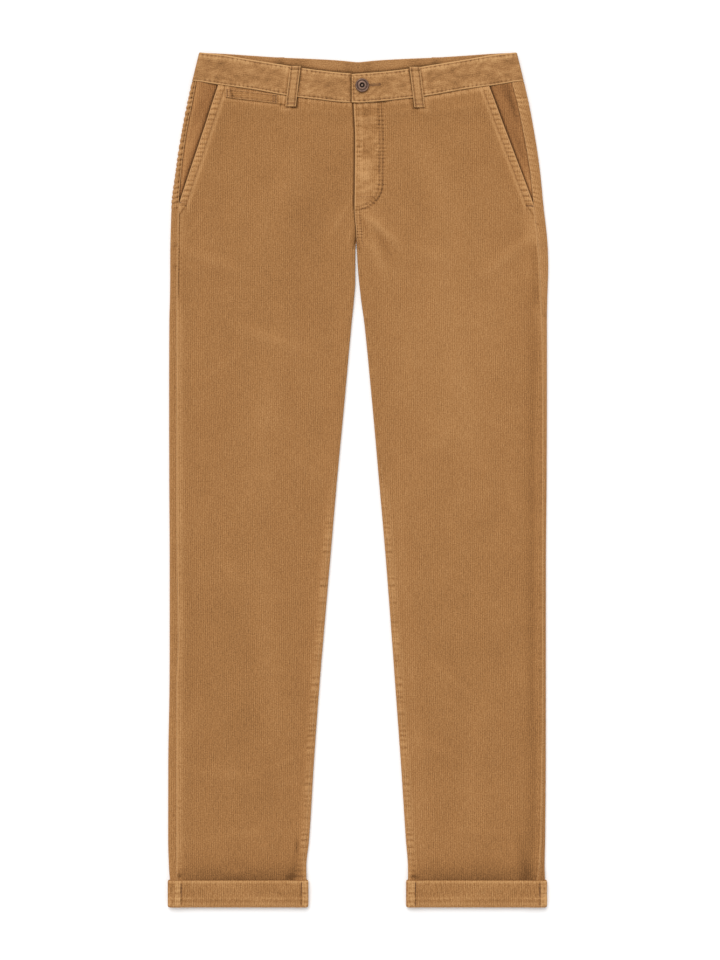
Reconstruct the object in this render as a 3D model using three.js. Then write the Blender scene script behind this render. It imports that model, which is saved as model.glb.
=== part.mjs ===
// Corduroy trousers with turned-up cuffs, laid flat on their back with the front up.
// Millimetres. +Z is up from the surface they lie on, +Y runs towards the waist and +X towards
// the wearer's left. The origin is on that surface, under the middle of the whole garment.
// Distances called d are measured outwards from the middle line, towards the side's own hip.

import * as THREE from "three";

// Cloth and gaps
const CLOTH = 1.4; // one layer of corduroy, wales and all
const BAND_CLOTH = 2.6; // the waistband, folded over its stiffening
const CUFF_CLOTH = 2.2; // the turn-up with its own hem
const LOOP_CLOTH = 1.7; // a belt loop's folded strip
const SEAM_GAP = 0.3; // air between pieces that are sewn together
const BAND_GAP = 0.4; // and under the waistband's curved seam
const LAYER_GAP = 0.4; // air between a layer and what it lies on

// Heights of the laid cloth, above its own underside
const FLAT_HEIGHT = 2 * CLOTH + LAYER_GAP + 0.1; // front lying on back
const SIDE_HEIGHT = 6.2; // the rounded outer edge, with its seam allowances
const INSEAM_HEIGHT = 5.4; // the rounded inner edge
const CUFFED_SIDE_HEIGHT = 4.4; // the same two edges where the cuff presses them
const CUFFED_INSEAM_HEIGHT = 4.2;
const CENTRE_HEIGHT = 4.5; // the crotch seam and the fly, front over back
const FLY_RAISE = 0.9; // the folded fly facing under the left front
const SIDE_RISE_REACH = 24; // how far in from each edge the cloth takes to lie flat
const INSEAM_RISE_REACH = 20;
const ALLOWANCE_RAISE = 0.5; // the felled inseam's allowance under the front
const ALLOWANCE_WIDTH = 9;
const BAND_SEAM_RISE = 0.6; // the fronts lift a little into the waistband
const SIDE_ROUND = 3.2; // half widths of the rounded edges
const INSEAM_ROUND = 2.8;
const CUFFED_ROUND = 2.2;
const INSEAM_RUN = 0.6; // from the rounded edge to the inseam

// Levels above the surface
const BAND_LEVEL = 1.5; // underside of the waistband, lying on the back belt loops
const CUFF_CLEAR = 0.35; // air between the leg and its cuff
const CUFF_LEVEL = CUFF_CLOTH + CUFF_CLEAR; // underside of the leg inside its cuff
const BAND_LEVEL_Y = { low: 440, high: 462 };
const CUFF_LEVEL_Y = { low: -496, high: -468 };

// Lengths along the garment
const LEG_END = -527;
const CUFF_END = -530;
const CUFF_TOP = -496.3;
const FORK = { low: 284, high: 302 }; // the inseams part from the crotch seam over this length
const POCKET_FOOT = 341; // the lower end of the slanted pocket mouth

// The slanted pockets
const POCKET_LAP = 14; // how far the facing runs on under the front
const POCKET_SPARE = 1; // and the front stays lifted this much further
const POCKET_HEM = 9.5; // width of the stitched pocket edge
const POCKET_HEM_RAISE = 0.8;
const POCKET_HEM_SLOPE = 2;
const POCKET_LIFT = CLOTH + 0.35; // the front lies this much higher over the facing
const POCKET_START = 15; // over this length the front climbs on to the facing

// The fly
const FLY_WIDTH = 33;
const FLY_FOOT = 336;
const FLY_CURVE = 31; // height of the curve at the foot of the fly stitching
const FLY_SLOPE = 4;

const INNER_ROUND_STEPS = 4;
const OUTER_ROUND_STEPS = 5;
const UNDER_STEPS = 4;
const LEAST_TURN = 0.22; // radians that the back's centre edge turns up above the crotch
const LEAST_RUN = 0.12;

const clamp = (value) => Math.min(1, Math.max(0, value));
const mix = (from, to, share) => from + (to - from) * share;
const fade = (distance, reach) => 1 - smooth(0, reach, distance);

function smooth(from, to, value) {
  const share = clamp((value - from) / (to - from));
  return share * share * (3 - 2 * share);
}

// A smooth curve through a table's rows that never swings past them
function curve(places, values) {
  const last = places.length - 1;
  const slopes = [];
  for (let i = 0; i < last; i += 1) {
    slopes.push((values[i + 1] - values[i]) / (places[i + 1] - places[i]));
  }
  const tangents = places.map((_, i) => {
    if (i === 0 || i === last) {
      return slopes[i === 0 ? 0 : last - 1];
    }
    if (slopes[i - 1] * slopes[i] <= 0) {
      return 0;
    }
    return (2 * slopes[i - 1] * slopes[i]) / (slopes[i - 1] + slopes[i]);
  });
  return (place) => {
    if (place <= places[0]) {
      return values[0];
    }
    if (place >= places[last]) {
      return values[last];
    }
    const i = places.findIndex((next) => next > place) - 1;
    const step = places[i + 1] - places[i];
    const t = (place - places[i]) / step;
    const start = values[i] + t * t * (3 - 2 * t) * (values[i + 1] - values[i]);
    return start + step * t * (1 - t) * ((1 - t) * tangents[i] - t * tangents[i + 1]);
  };
}

function table(columns, ...rows) {
  const places = rows.map((row) => row[0]);
  const named = columns.slice(1).map((name, i) => [name, curve(places, rows.map((row) => row[i + 1]))]);
  return Object.fromEntries(named);
}

// The leg's outline for each height: the outer edge, the side seam and the inner edge
const OUTLINE_COLUMNS = ["y", "outer", "seam", "inner"];
const RIGHT = {
  name: "right",
  sign: -1,
  outline: table(
    OUTLINE_COLUMNS,
    [CUFF_END, 233.45, 224.6, 64.0],
    [-497, 233.45, 224.6, 64.0],
    [-480, 234.6, 224.4, 64.2],
    [-447, 235.6, 224.4, 60.8],
    [-348, 235.4, 224.4, 54.6],
    [-254, 233.9, 224.4, 47.8],
    [-199, 233.7, 222.6, 43.2],
    [-100, 233.7, 223.9, 34.7],
    [0, 234.2, 224.2, 26.0],
    [99, 234.4, 224.4, 16.6],
    [198, 234.1, 224.4, 7.6],
    [223, 233.4, 224.4, 5.0],
    [246, 233.1, 224.1, 3.4],
    [284, 233.0, 223.6, 3.3],
    [302, 232.6, 223.4, 2.4],
    [341, 231.2, 222.2, 2.4],
    [384, 225.9, 218.9, 2.4],
    [434, 218.2, 212.0, 2.4],
    [467, 211.4, 205.2, 2.4],
    [494, 205.8, 200.2, 2.4],
    [530, 197.0, 192.0, 2.4],
  ),
  mouth: { footD: 222.2, topD: 173.6, topY: 488.3 },
};
const LEFT = {
  name: "left",
  sign: 1,
  outline: table(
    OUTLINE_COLUMNS,
    [CUFF_END, 231.9, 222.6, 62.1],
    [-497, 231.9, 222.6, 62.1],
    [-480, 231.6, 224.6, 62.0],
    [-447, 232.2, 226.9, 59.5],
    [-348, 233.0, 228.6, 53.0],
    [-254, 233.1, 229.2, 46.2],
    [-199, 233.1, 229.2, 42.2],
    [-100, 233.2, 229.2, 34.7],
    [0, 234.0, 229.5, 26.0],
    [99, 234.4, 229.4, 17.2],
    [198, 234.4, 228.0, 7.4],
    [223, 234.8, 226.4, 3.9],
    [266, 236.0, 224.4, -0.4],
    [284, 235.6, 223.2, -1.3],
    [302, 234.4, 221.8, -2.0],
    [341, 230.0, 217.8, -2.0],
    [384, 225.7, 213.0, -2.0],
    [434, 218.2, 204.4, -2.0],
    [467, 211.8, 197.4, -2.0],
    [494, 205.8, 190.4, -2.0],
    [530, 197.0, 183.0, -2.0],
  ),
  mouth: { footD: 217.8, topD: 162.9, topY: 487.0 },
};

// The middle line above the crotch, as an x: the seat seam behind, the crotch seam and fly in front
const MIDDLE = table(
  ["y", "back", "front"],
  [284, -2.3, -2.3],
  [302, -2.2, -2.2],
  [336, -0.8, -4.6],
  [351, 0.0, -4.4],
  [421, 0.0, -3.7],
  [467, 0.0, -5.7],
);

// The waistband's long edges, in front and behind, for each d
const BAND = table(
  ["d", "frontTop", "frontSeam", "backTop", "backSeam"],
  [0, 503.0, 466.8, 518.0, 482.0],
  [26, 505.0, 468.6, 520.5, 484.5],
  [48, 507.6, 471.2, 521.8, 485.8],
  [70, 510.5, 473.6, 522.8, 486.8],
  [90, 513.8, 476.6, 523.6, 487.6],
  [132, 520.6, 484.0, 526.2, 490.2],
  [170, 527.0, 489.2, 528.8, 492.6],
  [200, 530.0, 494.0, 530.0, 494.0],
);
const BAND_SIDE = { seam: 205.8, top: 197.0 };
const YOKE_SEAM = table(["d", "y"], [0, 420], [200, 468]);

// The largest soft folds of the fronts, each with its middle, its size and the angle it runs at
const FOLD_COLUMNS = ["x", "y", "length", "width", "height", "angle"];
const FOLDS = [
  [-187, 274, 92, 15, 1.3, -21],
  [-109, 175, 86, 16, 1.3, -20],
  [-118, 60, 210, 34, 0.9, 82],
  [-156, -118, 60, 18, 0.8, -60],
  [-110, -230, 220, 32, 0.9, 95],
  [-160, -366, 70, 18, 0.7, -4],
  [-90, 365, 130, 34, 0.8, 66],
  [181, 275, 84, 15, 1.2, 34],
  [24, 316, 50, 11, 1.2, -44],
  [17, 284, 66, 11, 1.0, -66],
  [92, 280, 60, 17, 1.0, -20],
  [125, 120, 190, 34, 0.9, 98],
  [108, 56, 60, 26, 0.6, 30],
  [114, -246, 86, 12, 0.7, -42],
  [140, -380, 170, 30, 0.8, 84],
  [95, 370, 120, 32, 0.8, 112],
].map((row) => Object.fromEntries(row.map((value, i) => [FOLD_COLUMNS[i], value])));
const FOLD_CLEAR_OF_CUFF = { low: -480, high: -440 };

function foldHeight(x, y) {
  let height = 0;
  for (const fold of FOLDS) {
    const turn = THREE.MathUtils.degToRad(fold.angle);
    const along = (x - fold.x) * Math.cos(turn) + (y - fold.y) * Math.sin(turn);
    const across = (y - fold.y) * Math.cos(turn) - (x - fold.x) * Math.sin(turn);
    const far = (2 * along / fold.length) ** 2 + (2 * across / fold.width) ** 2;
    height += fold.height * Math.exp(-far);
  }
  return height * smooth(FOLD_CLEAR_OF_CUFF.low, FOLD_CLEAR_OF_CUFF.high, y);
}

// How far the underside is off the surface: 0 but at the waistband and inside the cuffs
function level(y) {
  const atBand = BAND_LEVEL * smooth(BAND_LEVEL_Y.low, BAND_LEVEL_Y.high, y);
  const atCuff = CUFF_LEVEL * (1 - smooth(CUFF_LEVEL_Y.low, CUFF_LEVEL_Y.high, y));
  return atBand + atCuff;
}

const outOfCuff = (y) => smooth(CUFF_LEVEL_Y.low, CUFF_LEVEL_Y.high, y);
const sideHeight = (y) => mix(CUFFED_SIDE_HEIGHT, SIDE_HEIGHT, outOfCuff(y));
const inseamHeight = (y) => mix(CUFFED_INSEAM_HEIGHT, INSEAM_HEIGHT, outOfCuff(y));
const sideRound = (y) => mix(CUFFED_ROUND, SIDE_ROUND, outOfCuff(y));
const inseamRound = (y) => mix(CUFFED_ROUND, INSEAM_ROUND, outOfCuff(y));

// How far round the leg's inner edge the back panel turns: half a turn below the crotch
const inseamTurn = (y) => mix(LEAST_TURN, Math.PI, 1 - smooth(FORK.low, FORK.high, y));
const inseamRun = (y) => mix(LEAST_RUN, INSEAM_RUN, 1 - smooth(FORK.low, FORK.high, y));

function innerLimit(side, y, face) {
  const middle = side.sign * MIDDLE[face](y) + SEAM_GAP / 2;
  return mix(side.outline.inner(y), middle, smooth(FORK.low, FORK.high, y));
}

const turnMiddle = (side, y) =>
  innerLimit(side, y, "back") + inseamRound(y) * Math.sin(Math.min(inseamTurn(y), Math.PI / 2));

// The back panel's section runs from the inseam round the inner edge, along underneath and
// round the outer edge to the side seam. A station is a place on it.
const BACK_STATIONS = [{ part: "inner run", t: 1 }];
for (let i = INNER_ROUND_STEPS; i >= 0; i -= 1) {
  BACK_STATIONS.push({ part: "inner round", t: i / INNER_ROUND_STEPS });
}
for (let i = 1; i < UNDER_STEPS; i += 1) {
  BACK_STATIONS.push({ part: "under", t: i / UNDER_STEPS });
}
for (let i = 0; i <= OUTER_ROUND_STEPS; i += 1) {
  BACK_STATIONS.push({ part: "outer round", t: i / OUTER_ROUND_STEPS });
}
BACK_STATIONS.push({ part: "outer run", t: 1 });

function backPoint(side, station, y) {
  const outerMiddle = side.outline.outer(y) - sideRound(y);
  const innerMiddle = turnMiddle(side, y);
  const bottom = level(y);
  if (station.part === "under") {
    return { d: mix(innerMiddle, outerMiddle, station.t), z: bottom, nd: 0, nz: -1 };
  }
  if (station.part === "outer run") {
    return { d: side.outline.seam(y) + SEAM_GAP / 2, z: bottom + sideHeight(y), nd: 0, nz: 1 };
  }
  if (station.part === "outer round") {
    const angle = Math.PI * station.t;
    const half = sideHeight(y) / 2;
    return {
      d: outerMiddle + sideRound(y) * Math.sin(angle),
      z: bottom + half * (1 - Math.cos(angle)),
      nd: Math.sin(angle),
      nz: -Math.cos(angle),
    };
  }
  const angle = inseamTurn(y) * station.t;
  const half = inseamHeight(y) / 2;
  const run = station.part === "inner run" ? inseamRun(y) : 0;
  return {
    d: innerMiddle - inseamRound(y) * Math.sin(angle) - run * Math.cos(angle),
    z: bottom + half * (1 - Math.cos(angle)) + run * Math.sin(angle),
    nd: -Math.sin(angle),
    nz: -Math.cos(angle),
  };
}

// Where the front panel starts and ends across the garment
function frontInner(side, y) {
  const turn = inseamTurn(y);
  const limit = innerLimit(side, y, "front");
  if (turn < Math.PI / 2) {
    const share = (turn - LEAST_TURN) / (Math.PI / 2 - LEAST_TURN);
    return limit + (CLOTH + SEAM_GAP) * share;
  }
  const inside = (inseamRound(y) - CLOTH) * Math.sin(turn);
  return turnMiddle(side, y) - inside - inseamRun(y) * Math.cos(turn) + SEAM_GAP;
}

function mouthLine(side, y) {
  const { footD, topD, topY } = side.mouth;
  return mix(footD, topD, (y - POCKET_FOOT) / (topY - POCKET_FOOT));
}

function frontOuter(side, y) {
  const seam = side.outline.seam(y) - SEAM_GAP / 2;
  return y < POCKET_FOOT ? seam : Math.min(seam, mouthLine(side, y));
}

const onPocket = (y) => smooth(POCKET_FOOT - POCKET_START, POCKET_FOOT, y);

// Height at the side seam: the facing starts low, tucked under the foot of the pocket mouth
function seamHeight(y) {
  const low = sideHeight(y) - POCKET_LIFT * onPocket(y);
  return mix(low, SIDE_HEIGHT, smooth(POCKET_FOOT, POCKET_FOOT + 2 * POCKET_START, y));
}

function restingHeight(side, d, y) {
  const fromSeam = side.outline.seam(y) - d;
  const fromInner = d - frontInner(side, y);
  const innerTop = mix(inseamHeight(y), CENTRE_HEIGHT, smooth(FORK.low, FORK.high, y));
  const outerRise = (seamHeight(y) - FLAT_HEIGHT) * fade(fromSeam, SIDE_RISE_REACH);
  const innerRise = (innerTop - FLAT_HEIGHT) * fade(fromInner, INSEAM_RISE_REACH);
  return level(y) + FLAT_HEIGHT + outerRise + innerRise;
}

function flyRaise(side, d, y) {
  const fromEdge = d - frontInner(side, y);
  const curved = Math.sqrt(1 - clamp((FLY_FOOT + FLY_CURVE - y) / FLY_CURVE) ** 2);
  return side === LEFT ? FLY_RAISE * curved * fade(fromEdge - FLY_WIDTH * curved, FLY_SLOPE) : 0;
}

// The front panel's outer face without and with its stitched edges
function frontPlain(side, d, y) {
  const fromMouth = frontOuter(side, y) - d;
  const pocket = POCKET_LIFT * onPocket(y) * fade(fromMouth - POCKET_LAP - POCKET_SPARE, POCKET_LAP);
  const seamRise = BAND_SEAM_RISE * smooth(BAND_LEVEL_Y.low, BAND_LEVEL_Y.high + POCKET_START, y);
  const folds = foldHeight(side.sign * d, y) * smooth(0, INSEAM_ROUND, d - frontInner(side, y));
  return restingHeight(side, d, y) + pocket + seamRise + folds * smooth(0, POCKET_HEM, fromMouth);
}

function frontTop(side, d, y) {
  const fromMouth = frontOuter(side, y) - d;
  const fromInner = d - frontInner(side, y);
  const hem = POCKET_HEM_RAISE * onPocket(y) * fade(fromMouth - POCKET_HEM, POCKET_HEM_SLOPE);
  const felled = ALLOWANCE_RAISE * outOfCuff(y) * smooth(FORK.high, FORK.low, y);
  const ridge = felled * fade(fromInner - ALLOWANCE_WIDTH, POCKET_HEM_SLOPE) * smooth(0, CLOTH, fromInner);
  return frontPlain(side, d, y) + hem + ridge + flyRaise(side, d, y);
}

// Height of the waistband's outer face in front
const BAND_FRONT_HEIGHT = 7.5;
const BAND_SIDE_HEIGHT = 6.6;
const BAND_LAP_END = -7.8; // the left end laps over the middle, at this d
const BAND_UNDERLAP_END = -20; // the right end runs on under it
const BAND_LAP_LIFT = 2.35;
const BAND_LAP_SLOPE = { low: 24, high: 46 };
const BAND_UNDERLAP_DIP = 0.6;
const BAND_UNDERLAP_SLOPE = { low: 8.6, high: 12 };

function bandTop(side, d) {
  const { low, high } = side === LEFT ? BAND_LAP_SLOPE : BAND_UNDERLAP_SLOPE;
  const step = side === LEFT ? BAND_LAP_LIFT : -BAND_UNDERLAP_DIP;
  const atSide = BAND_LEVEL + BAND_SIDE_HEIGHT - BAND_FRONT_HEIGHT;
  const sideRise = atSide * fade(BAND_SIDE.top - SIDE_ROUND - d, SIDE_RISE_REACH);
  return BAND_FRONT_HEIGHT + sideRise + step * (1 - smooth(low, high, d));
}

// A closed wall between an outer and an inner grid of points
function wall(rows) {
  const high = rows.length;
  const wide = rows[0].length;
  const points = [];
  for (const face of ["outer", "inner"]) {
    for (const row of rows) {
      for (const place of row) {
        points.push(...place[face]);
      }
    }
  }
  const at = (face, i, j) => (face * high + i) * wide + j;
  const faces = [];
  const quad = (a, b, c, d) => faces.push(a, b, c, a, c, d);
  for (let i = 0; i < high - 1; i += 1) {
    for (let j = 0; j < wide - 1; j += 1) {
      quad(at(0, i, j), at(0, i, j + 1), at(0, i + 1, j + 1), at(0, i + 1, j));
      quad(at(1, i, j), at(1, i + 1, j), at(1, i + 1, j + 1), at(1, i, j + 1));
    }
  }
  for (let j = 0; j < wide - 1; j += 1) {
    quad(at(0, 0, j + 1), at(0, 0, j), at(1, 0, j), at(1, 0, j + 1));
    quad(at(0, high - 1, j), at(0, high - 1, j + 1), at(1, high - 1, j + 1), at(1, high - 1, j));
  }
  for (let i = 0; i < high - 1; i += 1) {
    quad(at(0, i, 0), at(0, i + 1, 0), at(1, i + 1, 0), at(1, i, 0));
    quad(at(0, i + 1, wide - 1), at(0, i, wide - 1), at(1, i, wide - 1), at(1, i + 1, wide - 1));
  }
  return facingOut(points, faces);
}

function facingOut(points, faces) {
  const corner = (index) => new THREE.Vector3().fromArray(points, 3 * index);
  let volume = 0;
  for (let i = 0; i < faces.length; i += 3) {
    const [a, b, c] = [corner(faces[i]), corner(faces[i + 1]), corner(faces[i + 2])];
    volume += a.dot(b.cross(c));
  }
  const geometry = new THREE.BufferGeometry();
  geometry.setAttribute("position", new THREE.Float32BufferAttribute(points, 3));
  geometry.setIndex(volume < 0 ? faces.reverse() : faces);
  geometry.computeVertexNormals();
  return geometry;
}

function place(side, y, point, thickness) {
  return {
    outer: [side.sign * point.d, y, point.z],
    inner: [side.sign * (point.d - thickness * point.nd), y, point.z - thickness * point.nz],
  };
}

// Heights of the rows of points, close together where the shape changes
const LEG_ROWS = [LEG_END, -497, -488, -480, -468];
const LEG_STEPS = 17;
const LEG_STRAIGHT = { low: -468, high: 240 };
for (let i = 1; i <= LEG_STEPS; i += 1) {
  LEG_ROWS.push(mix(LEG_STRAIGHT.low, LEG_STRAIGHT.high, i / LEG_STEPS));
}
LEG_ROWS.push(266, 284, 290, 296, 302, 314);
const HIP_ROWS = [326, 336, POCKET_FOOT, 349, 358, 371];
const FRONT_HIP_ROWS = [...HIP_ROWS, 386, 404];
const TOP_SHARES = [0, 0.34, 0.67, 1];
const MEETING_TRIES = 6;

// The seam line above a place on the back section, which goes over to the front's at the outer edge
function backSeamLine(station, d, behind, inFront) {
  if (station.part === "outer run") {
    return inFront(d);
  }
  return station.part === "outer round" ? mix(behind(d), inFront(d), station.t) : behind(d);
}

// The height at which a column of points, whose d changes with y, meets a slanting seam line
function meeting(column, line) {
  let y = BAND_LEVEL_Y.low;
  for (let i = 0; i < MEETING_TRIES; i += 1) {
    y = line(column(y));
  }
  return y;
}

const backPlace = (side, station, y) => place(side, y, backPoint(side, station, y), CLOTH);

function backPanel(side) {
  const constant = [...LEG_ROWS, ...HIP_ROWS];
  const from = constant[constant.length - 1];
  const rows = constant.map((y) => BACK_STATIONS.map((station) => backPlace(side, station, y)));
  for (const share of TOP_SHARES.slice(1)) {
    rows.push(BACK_STATIONS.map((station) => {
      const seam = meeting((y) => backPoint(side, station, y).d, YOKE_SEAM.y) - SEAM_GAP / 2;
      return backPlace(side, station, mix(from, seam, share));
    }));
  }
  return wall(rows);
}

function yoke(side) {
  const rows = TOP_SHARES.map((share) => BACK_STATIONS.map((station) => {
    const column = (y) => backPoint(side, station, y).d;
    const bandSeam = (d) => backSeamLine(station, d, BAND.backSeam, BAND.frontSeam);
    const top = meeting(column, bandSeam) - BAND_GAP;
    const foot = meeting(column, YOKE_SEAM.y) + SEAM_GAP / 2;
    return backPlace(side, station, mix(foot, top, share));
  }));
  return wall(rows);
}

// Columns of the front panel: set distances in from each edge, even shares between them
const EDGE_COLUMNS = [0, 4, 9.5, 12, 20, 32];
const FRONT_MIDDLE_STEPS = 5;
const FLY_COLUMN = 37;

function frontColumns(side, y) {
  const outer = frontOuter(side, y);
  const inner = frontInner(side, y);
  const fromOuter = EDGE_COLUMNS.map((step) => outer - step);
  const fromInner = [...EDGE_COLUMNS, FLY_COLUMN].map((step) => inner + step).reverse();
  const start = fromOuter[fromOuter.length - 1];
  const end = fromInner[0];
  const between = [];
  for (let i = 1; i < FRONT_MIDDLE_STEPS; i += 1) {
    between.push(mix(start, end, i / FRONT_MIDDLE_STEPS));
  }
  return [...fromOuter, ...between, ...fromInner];
}

function frontPlace(side, d, y) {
  const sunk = frontPlain(side, d, y) - CLOTH;
  return {
    outer: [side.sign * d, y, frontTop(side, d, y)],
    inner: [side.sign * d, y, sunk],
  };
}

function frontPanel(side) {
  const constant = [...LEG_ROWS, ...FRONT_HIP_ROWS];
  const from = constant[constant.length - 1];
  const rows = constant.map((y) => frontColumns(side, y).map((d) => frontPlace(side, d, y)));
  for (const share of TOP_SHARES.slice(1)) {
    rows.push(rows[0].map((_, j) => {
      const top = meeting((y) => frontColumns(side, y)[j], BAND.frontSeam) - BAND_GAP;
      const y = mix(from, top, share);
      return frontPlace(side, frontColumns(side, y)[j], y);
    }));
  }
  return wall(rows);
}

// The cloth inside the slanted pocket, from the side seam to under the front
const FACING_COLUMNS = [0, 0.15, 0.4, 0.7, 1];
const FACING_ROWS = FRONT_HIP_ROWS.filter((y) => y >= POCKET_FOOT);

function facingColumn(side, share, y) {
  const outer = side.outline.seam(y) - SEAM_GAP / 2;
  return mix(outer, Math.min(outer, mouthLine(side, y)) - POCKET_LAP, share);
}

function facingPlace(side, share, y) {
  const d = facingColumn(side, share, y);
  return place(side, y, { d, z: restingHeight(side, d, y), nd: 0, nz: 1 }, CLOTH);
}

function pocketFacing(side) {
  const rows = FACING_ROWS.map((y) => FACING_COLUMNS.map((share) => facingPlace(side, share, y)));
  const from = FACING_ROWS[FACING_ROWS.length - 1];
  for (const up of TOP_SHARES.slice(1)) {
    rows.push(FACING_COLUMNS.map((share) => {
      const top = meeting((y) => facingColumn(side, share, y), BAND.frontSeam) - BAND_GAP;
      return facingPlace(side, share, mix(from, top, up));
    }));
  }
  return wall(rows);
}

// The waistband, from the middle of the back round the hip to the middle of the front
const BAND_ROWS = [
  { up: 0, inset: 0.6 },
  { up: 0.06, inset: 0.1 },
  { up: 0.5, inset: 0 },
  { up: 0.94, inset: 0.1 },
  { up: 1, inset: 0.8 },
];
const BAND_FRONT_COLUMNS = [192, 180, 160, 140, 120, 90, 70, 48, 36, 24, 12, 8.3];
const BAND_BACK_COLUMNS = [26, 60, 95, 130, 165, 188];
const LAP_COLUMNS = [0, BAND_LAP_END];
const UNDERLAP_COLUMNS = [0, BAND_UNDERLAP_END / 2, BAND_UNDERLAP_END];

function waistband(side) {
  const ends = side === LEFT ? LAP_COLUMNS : UNDERLAP_COLUMNS;
  const rows = BAND_ROWS.map(({ up, inset }) => {
    const middle = mix(BAND_SIDE.seam, BAND_SIDE.top, up) - SIDE_ROUND;
    const half = BAND_SIDE_HEIGHT / 2;
    const row = [];
    const add = (d, z, nd, nz, forward) => {
      const far = Math.abs(d);
      const seam = mix(BAND.backSeam(far), BAND.frontSeam(far), forward);
      const top = mix(BAND.backTop(far), BAND.frontTop(far), forward);
      const point = { d: d - inset * nd, z: z - inset * nz, nd, nz };
      row.push(place(side, mix(seam, top, up), point, BAND_CLOTH - 2 * inset));
    };
    for (const d of [SEAM_GAP / 2, ...BAND_BACK_COLUMNS]) {
      add(d, BAND_LEVEL, 0, -1, 0);
    }
    for (let i = 0; i <= OUTER_ROUND_STEPS; i += 1) {
      const angle = (Math.PI * i) / OUTER_ROUND_STEPS;
      const [nd, nz] = [Math.sin(angle), -Math.cos(angle)];
      add(middle + SIDE_ROUND * nd, BAND_LEVEL + half * (1 + nz), nd, nz, i / OUTER_ROUND_STEPS);
    }
    for (const d of [...BAND_FRONT_COLUMNS, ...ends]) {
      add(d, bandTop(side, d), 0, 1, 1);
    }
    return row;
  });
  return wall(rows);
}

// The turned-up cuff: a profile of offsets from the leg's outer face, swept round the leg
const CUFF_PROFILE = [
  { out: CUFF_CLEAR, y: LEG_END - CUFF_CLEAR },
  { out: -CLOTH, y: LEG_END - CUFF_CLEAR },
  { out: -CLOTH + 0.3, y: CUFF_END + 1.4 },
  { out: -0.2, y: CUFF_END + 0.2 },
  { out: 1.1, y: CUFF_END },
  { out: CUFF_LEVEL - 0.25, y: CUFF_END + 1.1 },
  { out: CUFF_LEVEL, y: CUFF_END + 3 },
  { out: CUFF_LEVEL, y: CUFF_TOP - 3 },
  { out: CUFF_LEVEL - 0.2, y: CUFF_TOP - 0.8 },
  { out: CUFF_LEVEL - 0.9, y: CUFF_TOP },
  { out: CUFF_CLEAR + 0.5, y: CUFF_TOP },
  { out: CUFF_CLEAR, y: CUFF_TOP - 0.6 },
];

const SLOPE_STEP = 1;

function legRing(side, y) {
  const behind = BACK_STATIONS.map((station) => backPoint(side, station, y));
  const inFront = frontColumns(side, y).slice(1, -1).map((d) => {
    const climb = frontTop(side, d + SLOPE_STEP, y) - frontTop(side, d - SLOPE_STEP, y);
    const normal = new THREE.Vector2(-climb, 2 * SLOPE_STEP).normalize();
    return { d, z: frontTop(side, d, y), nd: normal.x, nz: normal.y };
  });
  return [...behind, ...inFront];
}

function cuff(side) {
  const ring = legRing(side, (LEG_END + CUFF_TOP) / 2);
  const count = CUFF_PROFILE.length;
  const points = [];
  const faces = [];
  for (const { d, z, nd, nz } of ring) {
    for (const { out, y } of CUFF_PROFILE) {
      points.push(side.sign * (d + out * nd), y, z + out * nz);
    }
  }
  const at = (i, j) => (i % ring.length) * count + (j % count);
  for (let i = 0; i < ring.length; i += 1) {
    for (let j = 0; j < count; j += 1) {
      faces.push(at(i, j), at(i + 1, j), at(i + 1, j + 1), at(i, j), at(i + 1, j + 1), at(i, j + 1));
    }
  }
  return facingOut(points, faces);
}

// The coin pocket's welt, lying on the right front just under the waistband
const WELT_CORNERS = { outerD: 163.5, innerD: 100.5, outerTop: 485, innerTop: 477.6, width: 11 };
const WELT_STEPS = 6;
const WELT_ROWS = [0, 0.12, 0.88, 1];
const WELT_CLOTH = 1.2;
const WELT_EDGE = 0.5;

function coinPocketWelt() {
  const { outerD, innerD, outerTop, innerTop, width } = WELT_CORNERS;
  const rows = WELT_ROWS.map((down) => {
    const row = [];
    const inset = down === 0 || down === 1 ? WELT_EDGE : 0;
    for (let i = 0; i <= WELT_STEPS; i += 1) {
      const d = mix(outerD, innerD, i / WELT_STEPS);
      const y = mix(outerTop, innerTop, i / WELT_STEPS) - width * down;
      const bottom = frontTop(RIGHT, d, y) + LAYER_GAP;
      row.push(place(RIGHT, y, { d, z: bottom + WELT_CLOTH - inset, nd: 0, nz: 1 }, WELT_CLOTH - inset));
    }
    return row;
  });
  return wall(rows);
}

// A belt loop over the waistband's front, from its top edge down on to the panel
const LOOP_WIDTH = 13;
const LOOP_BELOW_SEAM = 13;
const LOOP_ABOVE_BAND = 0.6;
const LOOP_FOLD = 0.9; // the ends are folded under, so they stand higher
const LOOP_FOLDED = { low: 0.07, high: 0.1 }; // over this share of its length at each end
const LOOP_STEP = { low: 8, high: 1.5 }; // it steps off the band this far below and above the seam
const LOOP_ROWS = [0, 0.015, 0.07, 0.1, 0.28, 0.5, 0.7, 0.74, 0.8, 0.9, 0.93, 0.985, 1];
const LOOP_ACROSS = [-1, -0.85, 0, 0.85, 1];
const LOOP_SIDE_INSET = 0.5;
const FRONT_LOOPS = [
  { side: RIGHT, topD: 77.5, footD: 83.5 },
  { side: LEFT, topD: 70.4, footD: 76.4 },
];

function loopRest(side, d, y) {
  const seam = BAND.frontSeam(d);
  const onBand = bandTop(side, d);
  const onPanel = frontTop(side, d, Math.min(y, seam - LOOP_STEP.high));
  const onBoth = mix(onPanel, onBand, smooth(seam - LOOP_STEP.low, seam - LOOP_STEP.high, y));
  return Math.max(onPanel, onBoth);
}

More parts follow.
